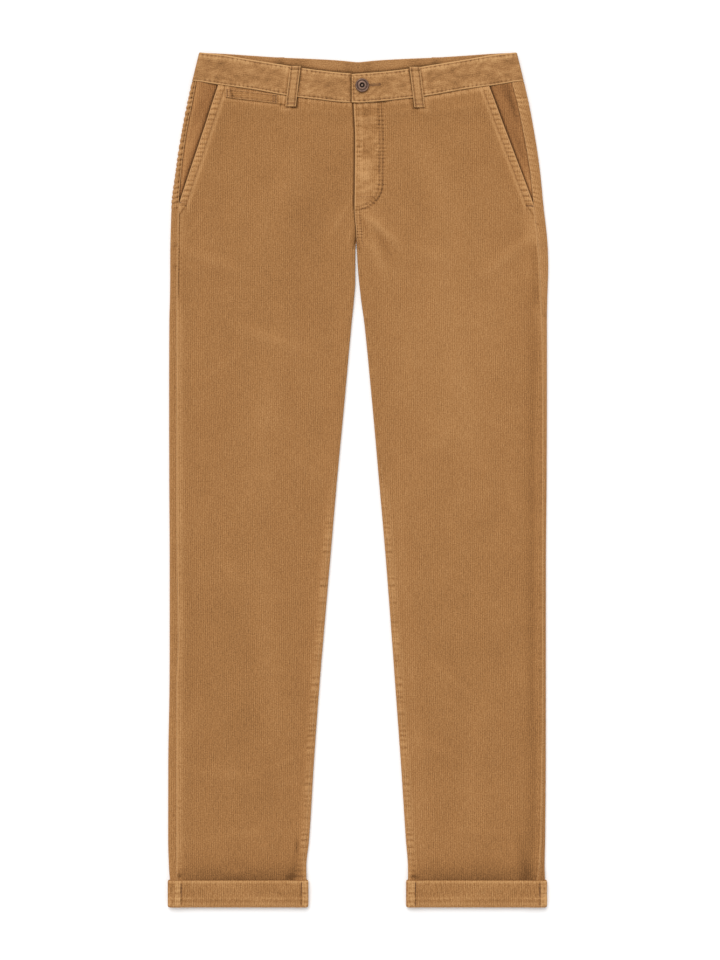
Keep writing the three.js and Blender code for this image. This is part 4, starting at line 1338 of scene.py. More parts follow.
# Columns of points, by their distance from an edge: close together where it's stitched
OUTER_REACH = 32
INNER_REACH = 39
EDGE_COLUMNS = np.array(
    [0, 0.25, 0.6, 1, 1.5, 2.1, 2.7, 3.4, 4.2, 5, 6, 7]
    + [8, 8.7, 9.4, 10.2, 11.2, 12.5, 14.5, 17, 20, 24, 28, OUTER_REACH]
)
INNER_COLUMNS = {
    "right": np.concatenate([EDGE_COLUMNS, [35.5, INNER_REACH]]),
    "left": joined(EDGE_COLUMNS[EDGE_COLUMNS < 21], [24, 27], steps(28.6, INNER_REACH, 0.95)),
}
MIDDLE_SHARES = steps(0, 1, 0.027)[1:-1]


def front_column(side, y):
    """The d of each column of the front panel, for a grid of heights"""
    inner = INNER_COLUMNS[side.name][::-1]
    before, between_them, after = len(EDGE_COLUMNS), len(MIDDLE_SHARES), len(inner)
    outer_inset = np.concatenate([EDGE_COLUMNS, np.full(between_them + after, float(OUTER_REACH))])
    inner_inset = np.concatenate([np.full(before + between_them, float(INNER_REACH)), inner])
    share = np.concatenate([np.zeros(before), MIDDLE_SHARES, np.ones(after)])
    return mix(front_outer(side, y) - outer_inset, front_inner(side, y) + inner_inset, share)


def column_count(side):
    return len(EDGE_COLUMNS) + len(MIDDLE_SHARES) + len(INNER_COLUMNS[side.name])


def slanted_rows(rows, shares, top, columns):
    """Heights of a grid whose upper part runs up to a slanting seam"""
    level_rows = np.repeat(np.array(rows, float)[:, None], columns, axis=1)
    start = level_rows[-1]
    upper = mix(start[None, :], top[None, :], np.array(shares)[:, None])
    return np.concatenate([level_rows, upper])


def stacked(side, outer_d, outer_z, inner_d, inner_z, y):
    outer = np.stack([side.sign * outer_d, y, outer_z], axis=-1)
    inner = np.stack([side.sign * inner_d, y, inner_z], axis=-1)
    return np.stack([outer, inner])


# The least thickness that a groove leaves in the cloth
LEAST_CLOTH = 0.6


def front_panel(side):
    start = np.full(column_count(side), SEAM_GUESS)
    top = meeting(lambda y: front_column(side, y), BAND.front_seam, start) - BAND_GAP
    y = slanted_rows(LEG_ROWS, TOP_SHARES, top, column_count(side))
    d = front_column(side, y)
    rise, tone = front_look(side, d, y)
    outer = front_top(side, d, y) + rise
    inner = np.minimum(front_plain(side, d, y) - CLOTH, outer - LEAST_CLOTH)
    points = stacked(side, d, outer, d, inner, y)
    return cloth(f"front_{side.name}_cloth", points, side.sign * d, y, tone, LEG_CORDUROY)


# The stations round the back panel's section, as parts with a share of the way along each
INNER_ROUND_SHARES = steps(0, 1, 0.125)[::-1]
OUTER_ROUND_SHARES = steps(0, 1, 0.083)
UNDER_SHARES = steps(0, 1, 0.09)[1:-1]
RUN_SHARES = steps(0, 1, 0.085)[1:]
BACK_STATIONS = (
    [("inner run", 1.0)]
    + [("inner round", share) for share in INNER_ROUND_SHARES]
    + [("under", share) for share in UNDER_SHARES]
    + [("outer round", share) for share in OUTER_ROUND_SHARES]
    + [("outer run", share) for share in RUN_SHARES]
)


def by_station(ways):
    """A value for each station: 0, or what the way given for its part makes of its share"""
    return np.array([ways[part](share) if part in ways else 0.0 for part, share in BACK_STATIONS])


def all_along(share):
    return 1.0


def growing(share):
    return share**2


def turning(share):
    return math.sin(math.pi * share)


ON_OUTER = by_station({"outer run": all_along, "outer round": growing})
ON_INNER = by_station({"inner run": all_along, "inner round": growing})
ON_RUN = by_station({"outer run": all_along})
ON_OUTER_ROUND = by_station({"outer round": turning})
ON_ROUNDS = by_station({"outer round": turning, "inner round": turning})

# The outer edge is drawn into scallops by the side seam, and every turned edge is painted paler,
# partly as painted light where the rounds turn away from the lamp and partly as wear
SCALLOPS = SimpleNamespace(pitch=6.9, start=0.8, shift=3)
BACK_INSEAM = SimpleNamespace(ripples=0.6, tone=0.02)
TURN_LIGHT_AND_WEAR = 0.3


def back_grid(side, y):
    """The back section's points for a grid of heights, one column for each station"""
    columns = [back_point(side, part, share, y[:, j]) for j, (part, share) in enumerate(BACK_STATIONS)]
    d, z, across_d, across_z = (np.stack(list(values), axis=1) for values in zip(*columns))
    rise, tone = strip_look(side, d, y)
    inseam_rise, inseam_tone = sewn("inseam", 0 * y, y)
    inseam = ON_INNER * below_knee(y)
    scallops = ripple(y + SCALLOPS.shift, SCALLOPS.pitch, SCALLOPS.start) * past("scallops", y)
    rise = rise * ON_OUTER + side.scallops * scallops * ON_OUTER_ROUND
    rise = rise - rolled(d - side.outline.seam(y) - CLOSE_GAP / 2, CLOSE_ROLL) * ON_RUN
    rise = rise + BACK_INSEAM.ripples * inseam_rise * inseam
    tone = tone * ON_OUTER + (inseam_tone + BACK_INSEAM.tone) * inseam + TURN_LIGHT_AND_WEAR * ON_ROUNDS
    outer_d, outer_z = d + rise * across_d, z + rise * across_z
    inner_d, inner_z = d - CLOTH * across_d, z - CLOTH * across_z
    return stacked(side, outer_d, outer_z, inner_d, inner_z, y), d[:, :1] + lengths_over(d, z), tone


def back_seam_line(j, d, behind, in_front):
    part, share = BACK_STATIONS[j]
    if part == "outer run":
        return in_front(d)
    return mix(behind(d), in_front(d), share) if part == "outer round" else behind(d)


def back_meeting(side, behind, in_front):
    found = []
    for j, (part, share) in enumerate(BACK_STATIONS):
        def column(y, part=part, share=share):
            return back_point(side, part, share, y)[0]

        def seam(d, j=j):
            return back_seam_line(j, d, behind, in_front)

        found.append(meeting(column, seam, np.array([SEAM_GUESS]))[0])
    return np.array(found)


def back_panel(side):
    seam = back_meeting(side, YOKE_SEAM.y, YOKE_SEAM.y) - SEAM_GAP / 2
    y = slanted_rows(BACK_FOOT_ROWS, TOP_SHARES, seam, len(BACK_STATIONS))
    points, lengths, tone = back_grid(side, y)
    return cloth(f"back_{side.name}_cloth", points, lengths, y, tone, LEG_CORDUROY)


YOKE_SHARES = steps(0, 1, 0.045)


def yoke(side):
    foot = back_meeting(side, YOKE_SEAM.y, YOKE_SEAM.y) + SEAM_GAP / 2
    top = back_meeting(side, BAND.back_seam, BAND.front_seam) - BAND_GAP
    y = mix(foot[None, :], top[None, :], YOKE_SHARES[:, None])
    points, lengths, tone = back_grid(side, y)
    across = lengths + MAP_SHIFT.yoke
    return cloth(f"yoke_{side.name}_cloth", points, across, y, tone, LEG_CORDUROY)


# The cloth inside the slanted pocket, with the soft folds that it has fallen into
FACING_SHARES = steps(0, 1, 0.045)
FACING_FOLDS = (
    (182, 462, 80, 9, 1.0, -70),
    (194, 460, 54, 7, -1.0, -69),
    (203, 424, 66, 8, 0.9, -68),
    (198, 396, 60, 8, -0.35, -72),
    (213, 380, 50, 6, 0.4, -74),
    (-194, 462, 60, 9, -0.35, 66),
    (-186, 440, 60, 8, 0.4, 70),
    (-205, 420, 70, 8, 0.4, 74),
    (-204, 390, 50, 7, -0.3, 68),
)
FACING_CREASES = [named(FOLD_COLUMNS, row) for row in FACING_FOLDS]


def facing_column(side, share, y):
    outer = side.outline.seam(y) - SEAM_GAP / 2
    return mix(outer, np.minimum(outer, mouth_line(side, y)) - POCKET_LAP, share)


# How much of the side seam's ripples reaches the facing, and how much of the mouth's painted shade is
# taken back in the left mouth
FACING_RIPPLES = 0.3
FACING_LESS_SHADE = (0.95, 0.48)
LEAST_ROW = 0.5


def pocket_facing(side):
    rows = np.concatenate([[POCKET_FOOT], LEG_ROWS[LEG_ROWS > POCKET_FOOT + LEAST_ROW]])
    start = np.full(len(FACING_SHARES), SEAM_GUESS)
    top = meeting(lambda y: facing_column(side, FACING_SHARES, y), BAND.front_seam, start) - BAND_GAP
    y = slanted_rows(rows, TOP_SHARES, top, len(FACING_SHARES))
    d = facing_column(side, FACING_SHARES, y)
    from_seam = side.outline.seam(y) - d
    past_mouth = d - mouth_line(side, y)
    open_part = past("open_mouth", past_mouth)
    rise, tone = (FACING_RIPPLES * open_part * value for value in sewn("front_side", from_seam, y))
    folds = fold_height(side.sign * d, y, FACING_CREASES) * past("facing_folds", from_seam) * open_part
    z = resting_height(side, d, y)
    outer = z + rise + folds - rolled(from_seam)
    # Painted shade in the pocket's mouth, under its edge and in the seam's corner, a paler ridge beside
    # the seam, and the folds painted lighter on their crests and darker in their hollows
    tone = tone + painted_corner_shade(past_mouth, "in_mouth") + line(past_mouth, "under_mouth")
    tone = tone + line(from_seam, "facing_ridge", f"{side.name}_facing_seam")
    tone = tone + side.facing_folds * folds + side.facing_tone
    if side is LEFT:
        faded = mix(*FACING_LESS_SHADE, past("facing_less_shade", y))
        tone = tone + faded * line(past_mouth, "in_mouth_less_shade")
    points = stacked(side, d, outer, d, z - CLOTH, y)
    across = side.sign * d + MAP_SHIFT.facing
    name = f"pocket_facing_{side.name}_cloth"
    return cloth(name, points, across, y, tone, FACING_CORDUROY)


# The waistband, from the middle of the back round the hip to the middle of the front
BAND_WIDTH = 36
BAND_FRONT_STEP = 1.25
BAND_UPS = joined(steps(0, 0.11, 0.011), steps(0.11, 0.89, 0.05), steps(0.89, 1, 0.011))
BAND_BACK_COLUMNS = np.concatenate([[SEAM_GAP / 2, 1.5], steps(6, 188, 7)])
BAND_FRONT_START = 192
BAND_END_STEP = 2.4
BAND_END_COLUMNS = np.array([1.8, 1.2, 0.7, 0.3, 0])
BAND_ROLL = 1.2
BAND_CORNER = SimpleNamespace(reach=4.0, drop=1.4)

# How its creases are squeezed together up the band and slant along it, and the back half's puckers
BAND_CREASES = SimpleNamespace(shift=3, wave_up=1.6, drag_up=2.4, drag_slant=0.3, fine_up=1.3)
BACK_BAND = SimpleNamespace(tone=-0.15, puckers=0.3, pitch=7.7, start=1.3)


def band_look(side, d, up, in_front):
    """The rise and tone of the waistband's face"""
    from_seam = up * BAND_WIDTH
    from_top = (1 - up) * BAND_WIDTH
    creases = BAND_CREASES
    low = np.stack(sewn("band_edge", from_seam, d + creases.shift))
    high = np.stack(sewn("band_edge", from_top, d))
    wave = crumpled("band_wave", d, creases.wave_up * from_seam, side.sign)
    slanted = creases.drag_up * from_seam - creases.drag_slant * side.sign * d
    drag = crumpled("band_drag", slanted, d)
    fine = crumpled("band_fine", d + from_seam, creases.fine_up * from_seam)
    rise, tone = low + high + wave + drag + fine
    # The band's top and foot edges are painted paler, partly as painted highlight on their rolled edges
    # and partly as wear
    tone = tone + line(from_top, "band_top", "under_band_top") + line(from_seam, "band_foot")
    if side is LEFT:
        tone = tone + line(d, "band_faded") * line(from_top, "band_faded_up")
    else:
        # Painted shadow on the right band beside the end of the left band that laps over it
        tone = tone + painted_corner_shade(d + BAND_LAP_END, "lap_end") * (d > 0)
    for loop in FRONT_LOOPS:
        if loop.side is side:
            tone = tone + beside_loop(d - mix(loop.foot, loop.top, up))
    return in_front * rise, in_front * tone


def inside_shade(d, y):
    """The tone of the back waistband's inside, which shows over the front one: the painted shadow of the
    front band's top edge, and a paler rim
    """
    above = y - BAND.front_top(d)
    from_top = BAND.back_top(d) - y
    puckers = ripple(d, BACK_BAND.pitch, BACK_BAND.start) * past("back_band_puckers", from_top)
    dark = painted_corner_shade(above, "over_front_band") * (1 - past("back_band_shade", np.abs(d)))
    return dark + BACK_BAND.tone + BACK_BAND.puckers * puckers + line(from_top, "back_band_top")


def waistband(side):
    end = BAND_LAP_END if side is LEFT else BAND_UNDERLAP_END
    front_d = steps(BAND_FRONT_START, end + BAND_END_STEP, BAND_FRONT_STEP)
    front_d = np.concatenate([front_d, end + BAND_END_COLUMNS])
    angles = math.pi * OUTER_ROUND_SHARES
    counts = (len(BAND_BACK_COLUMNS), len(angles), len(front_d))

    def over(*parts):
        """A grid from what its columns hold on the back, round the hip and in front"""
        columns = [np.zeros(count) + part for count, part in zip(counts, parts)]
        return np.concatenate(columns)[None, :] + np.zeros((len(BAND_UPS), 1))

    forward = over(0, OUTER_ROUND_SHARES, 1)
    across_d = over(0, np.sin(angles), 0)
    across_z = over(-1, -np.cos(angles), 1)
    up = BAND_UPS[:, None] + 0 * forward
    d = over(BAND_BACK_COLUMNS, 0, front_d)
    z = over(BAND_LEVEL, 0, band_top(side, front_d))
    bend = slice(counts[0], counts[0] + counts[1])
    middle = mix(BAND_SIDE_SEAM, BAND_SIDE_TOP, up[:, bend]) - SIDE_ROUND
    d[:, bend] = middle + SIDE_ROUND * across_d[:, bend]
    z[:, bend] = BAND_LEVEL + BAND_SIDE_HEIGHT / 2 * (1 + across_z[:, bend])
    far = np.abs(d)
    seam = mix(BAND.back_seam(far), BAND.front_seam(far), forward)
    top = mix(BAND.back_top(far), BAND.front_top(far), forward)
    y = mix(seam, top, up)
    rise, tone = band_look(side, d, up, past("band_forward", forward))
    from_end = np.where(forward >= 1, d - end, BAND_WIDTH)
    from_edge = np.minimum(up, 1 - up)
    inset = np.maximum(rolled(from_edge * BAND_WIDTH, BAND_ROLL), rolled(from_end, BAND_ROLL))
    if side is LEFT:
        end_rise, end_tone = sewn("band_edge", from_end, up * BAND_WIDTH)
        rise = rise + end_rise * past("band_end_sewing", from_edge)
        tone = tone + end_tone * past("band_end_sewing", from_edge) + line(from_end, "band_end")
        y = y - BAND_CORNER.drop * hump(from_end, BAND_CORNER.reach) * past("band_corner", up)
    outer_d = d + (rise - inset) * across_d
    outer_z = z + (rise - inset) * across_z
    inner_d = d - (BAND_CLOTH - inset) * across_d
    inner_z = z - (BAND_CLOTH - inset) * across_z
    points = stacked(side, outer_d, outer_z, inner_d, inner_z, y)
    across, along = up * BAND_WIDTH + MAP_SHIFT.waistband, d[:, :1] + lengths_over(d, z)
    hidden = inside_shade(far, y) * (forward <= 0)
    name = f"waistband_{side.name}_cloth"
    return cloth(name, points, across, along, tone, BAND_CORDUROY, hidden)


# The turned-up cuff: the same cloth, paler where it is folded, partly rubbed and partly painted
# highlight
CUFF_CORDUROY = corduroy("turned_up_corduroy", "#a37242", "#ca9b66", "#694721", 0.38, 0.9)

# Its form is a profile swept round the leg: offsets from the leg's outer face, each with its y.
# The inseam and the side seam cross it at the places in CUFF_SEAMS.
CUFF_FACE_ROWS = 14
CUFF_PROFILE = (
    [
        (CUFF_CLEAR, LEG_END - CUFF_CLEAR),
        (-CLOTH, LEG_END - CUFF_CLEAR),
        (-CLOTH + 0.15, LEG_END - CUFF_CLEAR - 0.6),
        (-CLOTH + 0.35, CUFF_END + 1.2),
        (-0.6, CUFF_END + 0.45),
        (0.2, CUFF_END + 0.1),
        (1.0, CUFF_END),
        (1.7, CUFF_END + 0.35),
        (2.2, CUFF_END + 1.0),
        (2.45, CUFF_END + 1.8),
    ]
    + [(CUFF_LEVEL, y) for y in np.linspace(CUFF_END + 3, CUFF_TOP - 2.6, CUFF_FACE_ROWS)]
    + [
        (CUFF_LEVEL - 0.06, CUFF_TOP - 1.7),
        (CUFF_LEVEL - 0.25, CUFF_TOP - 0.9),
        (CUFF_LEVEL - 0.6, CUFF_TOP - 0.3),
        (CUFF_LEVEL - 1.05, CUFF_TOP),
        (CUFF_CLEAR + 0.6, CUFF_TOP - 0.1),
        (CUFF_CLEAR + 0.15, CUFF_TOP - 0.35),
        (CUFF_CLEAR, CUFF_TOP - 0.9),
    ]
)
CUFF_SEAMS = {"right": (70.0, 219.0), "left": (71.0, 225.4)}
CUFF_MIDDLE = (LEG_END + CUFF_TOP) / 2
SLOPE_STEP = 1.0

# Its sewn and worn face, the crease across it, the fine drag of its stitching and its slow waves
CUFF_FACE = SimpleNamespace(low=CUFF_END + 1.5, high=CUFF_TOP - 1.0, soft=0.8, out=1.5)
CUFF_CREASE = SimpleNamespace(y=-519.5, width=2.0, rise=0.35)
CUFF_DRAG = SimpleNamespace(rise=0.12, tone=0.2, pitch=5.3, slant=0.3)
CUFF_FADE = SimpleNamespace(middle=0.6, change=0.4, x=9, y=7)
CUFF_WAVE = SimpleNamespace(rise=0.14, x=17, y=5)
CUFF_CLOUD = SimpleNamespace(tone=0.08, x=19, y=-9)


def slow_wave(wave, d, y):
    return np.sin(d / wave.x + y / wave.y)


def cuff_ring(side):
    """The leg's section in the middle of the cuff: d, z and the way its face looks, all round"""
    y = np.full(1, CUFF_MIDDLE)
    behind = [[value[0] for value in back_point(side, part, share, y)] for part, share in BACK_STATIONS]
    d = front_column(side, np.full(column_count(side), CUFF_MIDDLE))[1:-1]
    height = front_top(side, d, CUFF_MIDDLE)
    climb = front_top(side, d + SLOPE_STEP, CUFF_MIDDLE) - front_top(side, d - SLOPE_STEP, CUFF_MIDDLE)
    size = np.hypot(climb, 2 * SLOPE_STEP)
    in_front = np.stack([d, height, -climb / size, 2 * SLOPE_STEP / size], axis=1)
    ring = np.concatenate([np.array(behind), in_front])
    return np.concatenate([ring, ring[:1]])


def cuff(side):
    ring = cuff_ring(side)
    profile = np.array(CUFF_PROFILE + CUFF_PROFILE[:1])
    out, y = profile[:, :1], profile[:, 1:] + 0 * ring[None, :, 0]
    d, z, across_d, across_z = (ring[None, :, i] for i in range(4))
    face = between(CUFF_FACE.low, CUFF_FACE.high, y, CUFF_FACE.soft) * (out > CUFF_FACE.out)
    inner, outer = CUFF_SEAMS[side.name]
    seams = [("cuff_seam", d - inner), ("cuff_seam", d - outer)]
    seams += [("cuff_end", d - inner), ("cuff_end", outer - d)]
    rise, tone = sum(np.stack(sewn(kind, distance, y)) for kind, distance in seams)
    fine = ripple(d + CUFF_DRAG.slant * y, CUFF_DRAG.pitch, side.sign)
    fine = fine * (CUFF_FADE.middle + CUFF_FADE.change * slow_wave(CUFF_FADE, d, y))
    rise = rise + CUFF_CREASE.rise * hump(y - CUFF_CREASE.y, CUFF_CREASE.width)
    rise = rise + CUFF_WAVE.rise * slow_wave(CUFF_WAVE, d, y) + CUFF_DRAG.rise * fine
    # The crease is painted paler above and darker below, the top fold paler, the lower fold and its roll
    # paler round a thin darker line, and the fine drag lighter on its crests: painted light and shade
    tone = tone + line(y, "cuff_crease_pale", "cuff_crease_dark") + line(y - CUFF_TOP, "cuff_top")
    tone = tone + line(y - CUFF_END, "over_cuff_fold", "cuff_foot")
    tone = tone + CUFF_CLOUD.tone * slow_wave(CUFF_CLOUD, d, y) + CUFF_DRAG.tone * fine
    tone = tone * face + line(y - CUFF_END, "cuff_fold") * (1 - face)
    offset = out + rise * face * np.clip(across_z, 0, 1)
    outer = np.stack([side.sign * (d + offset * across_d), y, z + offset * across_z], axis=-1)
    around = lengths_over(ring[:, 0], ring[:, 1])[None, :] + 0 * y
    down = lengths_over(profile[:, 0], profile[:, 1])[:, None] + 0 * y
    name = f"cuff_{side.name}_cloth"
    return cloth(name, outer[None], around, down, tone, CUFF_CORDUROY, weld=True)


# The coin pocket's welt lies on the right front just under the waistband. Its outer end is caught
# down by a slanting row of stitches.
WELT_ACROSS = steps(0, 1, 0.03)
WELT_DOWN = joined([0, 0.03, 0.07, 0.12], steps(0.2, 0.8, 0.08), [0.88, 0.93, 0.97, 1])
WELT_ROLL = 0.6
WELT_TAB = SimpleNamespace(far=5.6, slant=2.4, tone=0.45)


def welt_place(share, down):
    """The d and y of a place on the welt, from its shares along and down it"""
    d = mix(WELT.outer, WELT.inner, share) + 0 * down
    return d, mix(WELT.outer_top, WELT.inner_top, share) - WELT.width * down


def coin_pocket_welt():
    share, down = WELT_ACROSS[None, :], WELT_DOWN[:, None]
    d, y = welt_place(share, down)
    from_end = np.minimum(share, 1 - share) * (WELT.outer - WELT.inner)
    edge = np.minimum(np.minimum(down, 1 - down) * WELT.width, from_end)
    bottom = front_top(RIGHT, d, y) + LAYER_GAP
    rise, tone = sewn("welt", edge, d)
    points = stacked(RIGHT, d, bottom + WELT.cloth + rise - rolled(edge, WELT_ROLL), d, bottom, y)
    tab = d - WELT.outer + WELT_TAB.far + WELT_TAB.slant * down
    # The welt's edges are painted paler, as painted highlight, and its slanted seam darker, as painted
    # shade
    tone = tone + line(edge, "welt_edge") + line(tab, "welt_tab_seam")
    tone = tone + WELT_TAB.tone * past("welt_tab", tab)
    return cloth("coin_pocket_welt_cloth", points, y, d, tone, LEG_CORDUROY)


# A belt loop over the waistband's front, from its top edge down on to the panel
LOOP_DOWN = joined([0, 0.005, 0.012, 0.02], steps(0.03, 0.97, 0.02), [0.98, 0.988, 0.995, 1])
LOOP_HALF = [0.4, 0.62, 0.75, 0.85, 0.92, 0.97, 1]
LOOP_ACROSS = np.array([-part for part in LOOP_HALF[::-1]] + [0] + LOOP_HALF)
LOOP_LENGTH = 50.0
LOOP_WAVE = SimpleNamespace(rise=0.07, tone=2.6, pitch=6.1, start=1.1)
LOOP_GROOVE = SimpleNamespace(depth=0.22, tone=-1.5)
LOOP_TONE = 0.32
LOOP_ROLL = 0.9


def loop_rest(side, d, y):
    seam = BAND.front_seam(d)
    on_band = band_top(side, d)
    on_panel = front_top(side, d, np.minimum(y, seam - LOOP_STEP_HIGH))
    on_both = mix(on_panel, on_band, smooth(seam - LOOP_STEP_LOW, seam - LOOP_STEP_HIGH, y))
    return np.maximum(on_panel, on_both)


def loop_face(loop, across, down):
    """Where a place on a belt loop is: its d, its y, its underside's z and its thickness"""
    middle = mix(loop.top, loop.foot, down)
    high = BAND.front_top(loop.top) + LOOP_ABOVE_BAND
    low = BAND.front_seam(loop.foot) - LOOP_BELOW_SEAM
    y = mix(high, low, down)
    end = np.minimum(down, 1 - down)
    folded = LOOP_FOLD * (1 - smooth(LOOP_FOLDED_LOW, LOOP_FOLDED_HIGH, end))
    bottom = loop_rest(loop.side, middle, y) + LAYER_GAP
    return middle + across * LOOP_WIDTH / 2, y, bottom, LOOP_CLOTH + folded


def front_belt_loop(loop):
    across, down = LOOP_ACROSS[None, :], LOOP_DOWN[:, None]
    d, y, bottom, thick = loop_face(loop, across, down)
    from_side = (1 - np.abs(across)) * LOOP_WIDTH / 2 + 0 * down
    from_end = np.minimum(down, 1 - down) * LOOP_LENGTH + 0 * across
    groove = line(from_side, "loop_groove")
    wave = LOOP_WAVE.rise * ripple(down * LOOP_LENGTH, LOOP_WAVE.pitch, LOOP_WAVE.start + loop.side.sign)
    edge = np.minimum(from_side, from_end)
    top = bottom + thick + wave - LOOP_GROOVE.depth * groove - rolled(edge, LOOP_ROLL)
    # The loop's sides and ends are painted paler, as painted highlight, its stitched grooves and sewn
    # ends darker, as painted shade, and its ripples lighter on their crests
    tone = line(from_side, "loop_edge") + LOOP_GROOVE.tone * groove + LOOP_WAVE.tone * wave + LOOP_TONE
    tone = tone + line(from_end, "loop_end", "loop_end_sewn", "loop_end_pale")
    points = stacked(loop.side, d, top, d, bottom + 0 * across, y + 0 * across)
    name = f"belt_loop_front_{loop.side.name}_cloth"
    return cloth(name, points, d, y + 0 * across, tone, BAND_CORDUROY)


# A belt loop behind lies flat between the waistband and the surface
BACK_LOOP_CLOTH = 1.2
BACK_LOOP_D = 98
BACK_LOOP_ROLL = 0.5
BACK_LOOP_ACROSS = np.linspace(-1, 1, 9)
BACK_LOOP_UP = steps(0, 1, 0.05)


def back_belt_loop(name, middle):
    high = BAND.back_top(abs(middle)) + LOOP_ABOVE_BAND
    low = BAND.back_seam(abs(middle)) - LOOP_BELOW_SEAM
    y = mix(low, high, BACK_LOOP_UP)[:, None] + 0 * BACK_LOOP_ACROSS
    across = BACK_LOOP_ACROSS + 0 * y
    d = middle + across * LOOP_WIDTH / 2
    edge = np.minimum((1 - np.abs(across)) * LOOP_WIDTH / 2, np.minimum(y - low, high - y))
    top = BACK_LOOP_CLOTH - rolled(edge, BACK_LOOP_ROLL)
    points = stacked(LEFT, d, top, d, 0 * y, y)
    return cloth(name, points, d, y, 0 * y, BAND_CORDUROY)


# The tack button, turned: a rim, a groove, a raised ring and a dimple with the head of its pin.
# Its profile's columns are the radius, the height and the tone.
BUTTON = SimpleNamespace(x=5.2, y=488.1, sides=72)
BUTTON_WELD = 0.000001
BUTTON_PROFILE = (
    (0.0, 0.0, 0.0),
    (7.4, 0.0, 0.0),
    (8.2, 0.25, -0.1),
    (8.5, 0.8, 0.1),
    (8.5, 1.6, 0.3),
    (8.3, 2.15, 0.45),
    (7.85, 2.45, 0.45),
    (7.3, 2.5, 0.2),
    (6.85, 2.35, -0.25),
    (6.5, 2.05, -0.6),
    (6.1, 1.95, -0.6),
    (5.7, 2.0, -0.3),
    (5.35, 2.25, 0.0),
    (4.9, 2.6, 0.25),
    (4.3, 2.75, 0.3),
    (3.7, 2.75, 0.15),
    (3.15, 2.6, -0.2),
    (2.75, 2.05, -0.9),
    (2.4, 1.6, -1.0),
    (1.8, 1.45, -1.0),
    (1.25, 1.5, -0.8),
    (1.05, 1.85, 0.6),
    (0.75, 2.15, 0.9),
    (0.35, 2.3, 1.0),
    (0.0, 2.33, 1.0),
)


def tack_button():
    form = bmesh.new()
    bottom = band_top(LEFT, BUTTON.x) + LAYER_GAP
    corners = [form.verts.new((radius * MM, 0, height * MM)) for radius, height, _ in BUTTON_PROFILE]
    lines = [form.edges.new(pair) for pair in zip(corners[:-1], corners[1:])]
    turn = {"cent": (0, 0, 0), "axis": (0, 0, 1), "angle": 2 * math.pi, "steps": BUTTON.sides}
    bmesh.ops.spin(form, geom=corners + lines, use_merge=True, **turn)
    bmesh.ops.remove_doubles(form, verts=form.verts[:], dist=BUTTON_WELD)
    bmesh.ops.recalc_face_normals(form, faces=form.faces[:])
    radii, _, shades = zip(*BUTTON_PROFILE[:0:-1])
    tones = [float(np.interp(vert.co.xy.length / MM, radii, shades)) for vert in form.verts]
    bmesh.ops.translate(form, verts=form.verts[:], vec=Vector((BUTTON.x, BUTTON.y, bottom)) * MM)
    mesh = mesh_of(form, "button")
    mesh.attributes.new("tone", "FLOAT", "POINT").data.foreach_set("value", tones)
    facing_out(mesh)
    return piece_of("button_turned", mesh, BRONZE)


# Stitches: a stitch is a small rounded length of thread, and a row of them follows a path
STITCH_PITCH = 3.3
STITCH = SimpleNamespace(length=2.7, width=0.62, height=0.5)
STITCH_SIDES, STITCH_RINGS = 6, 4
STITCH_LIFT = 0.05
BAR_PITCH = 0.62
BAR_THREAD = 0.55


def stitch_mesh():
    form = bmesh.new()
    bmesh.ops.create_uvsphere(form, u_segments=STITCH_SIDES, v_segments=STITCH_RINGS, radius=0.5)
    bmesh.ops.rotate(form, verts=form.verts[:], matrix=Matrix.Rotation(math.pi / 2, 3, "Y"))
    return mesh_of(form, "stitch")


ONE_STITCH = stitch_mesh()


def sew_stitch(form, middle, direction, length, width, height):
    """Adds one stitch to a row"""
    forward = Vector(direction).normalized()
    aside = Vector((0, 0, 1)).cross(forward).normalized()
    upward = forward.cross(aside)
    turn = Matrix((forward, aside, upward)).transposed().to_4x4()
    size = Matrix.Diagonal((length * MM, width * MM, height * MM, 1))
    place = Matrix.Translation(Vector(middle) * MM)
    one = ONE_STITCH.copy()
    one.transform(place @ turn @ size)
    form.from_mesh(one)
    bpy.data.meshes.remove(one)


# How far to either side of a stitch its path is looked at for the direction, in pitches
PATH_REACH = 0.3


def along_path(path, pitch):
    """Evenly spaced places on a path, each with its direction"""
    path = np.array(path, float)
    far = np.concatenate([[0], np.cumsum(np.linalg.norm(np.diff(path, axis=0), axis=1))])
    count = max(1, int(far[-1] / pitch))
    for middle in (np.arange(count) + 0.5) * far[-1] / count:
        reach = PATH_REACH * pitch
        behind, place, ahead = (
            np.array([np.interp(middle + step, far, path[:, axis]) for axis in range(3)])
            for step in (-reach, 0, reach)
        )
        yield place, ahead - behind


def stitching(name, paths, material=None, pitch=STITCH_PITCH, stitch=STITCH, bars=()):
    """One piece of sewing: rows of stitches along paths, and bars of close stitches across them"""
    form = bmesh.new()
    for path in paths:
        for place, direction in along_path(path, pitch):
            sew_stitch(form, place, direction, stitch.length, stitch.width, stitch.height)
    for path, width in bars:
        for place, direction in along_path(path, BAR_PITCH):
            across = np.cross([0, 0, 1], direction)
            sew_stitch(form, place, across, width, BAR_THREAD, BAR_THREAD)
    return piece_of(name, mesh_of(form, name), material or TAN_THREAD)


def front_path(side, d, y, lift=STITCH_LIFT):
    """A path over a front panel, from lists of d and y"""
    d, y = np.broadcast_arrays(np.array(d, float), np.array(y, float))
    return np.stack([side.sign * d, y, front_face(side, d, y) + lift], axis=1)


def strip_path(side, offset, y):
    d = side.outline.seam(y) + offset
    z = level(y) + side_height(y) + strip_look(side, d, y)[0]
    return np.stack([side.sign * d, y, z + STITCH_LIFT], axis=1)


def band_path(side, d, up):
    d, up = np.broadcast_arrays(np.array(d, float), np.array(up, float))
    far = np.abs(d)
    y = mix(BAND.front_seam(far), BAND.front_top(far), up)
    z = band_top(side, d) + band_look(side, d, up, 1.0)[0]
    return np.stack([side.sign * d, y, z + STITCH_LIFT], axis=1)


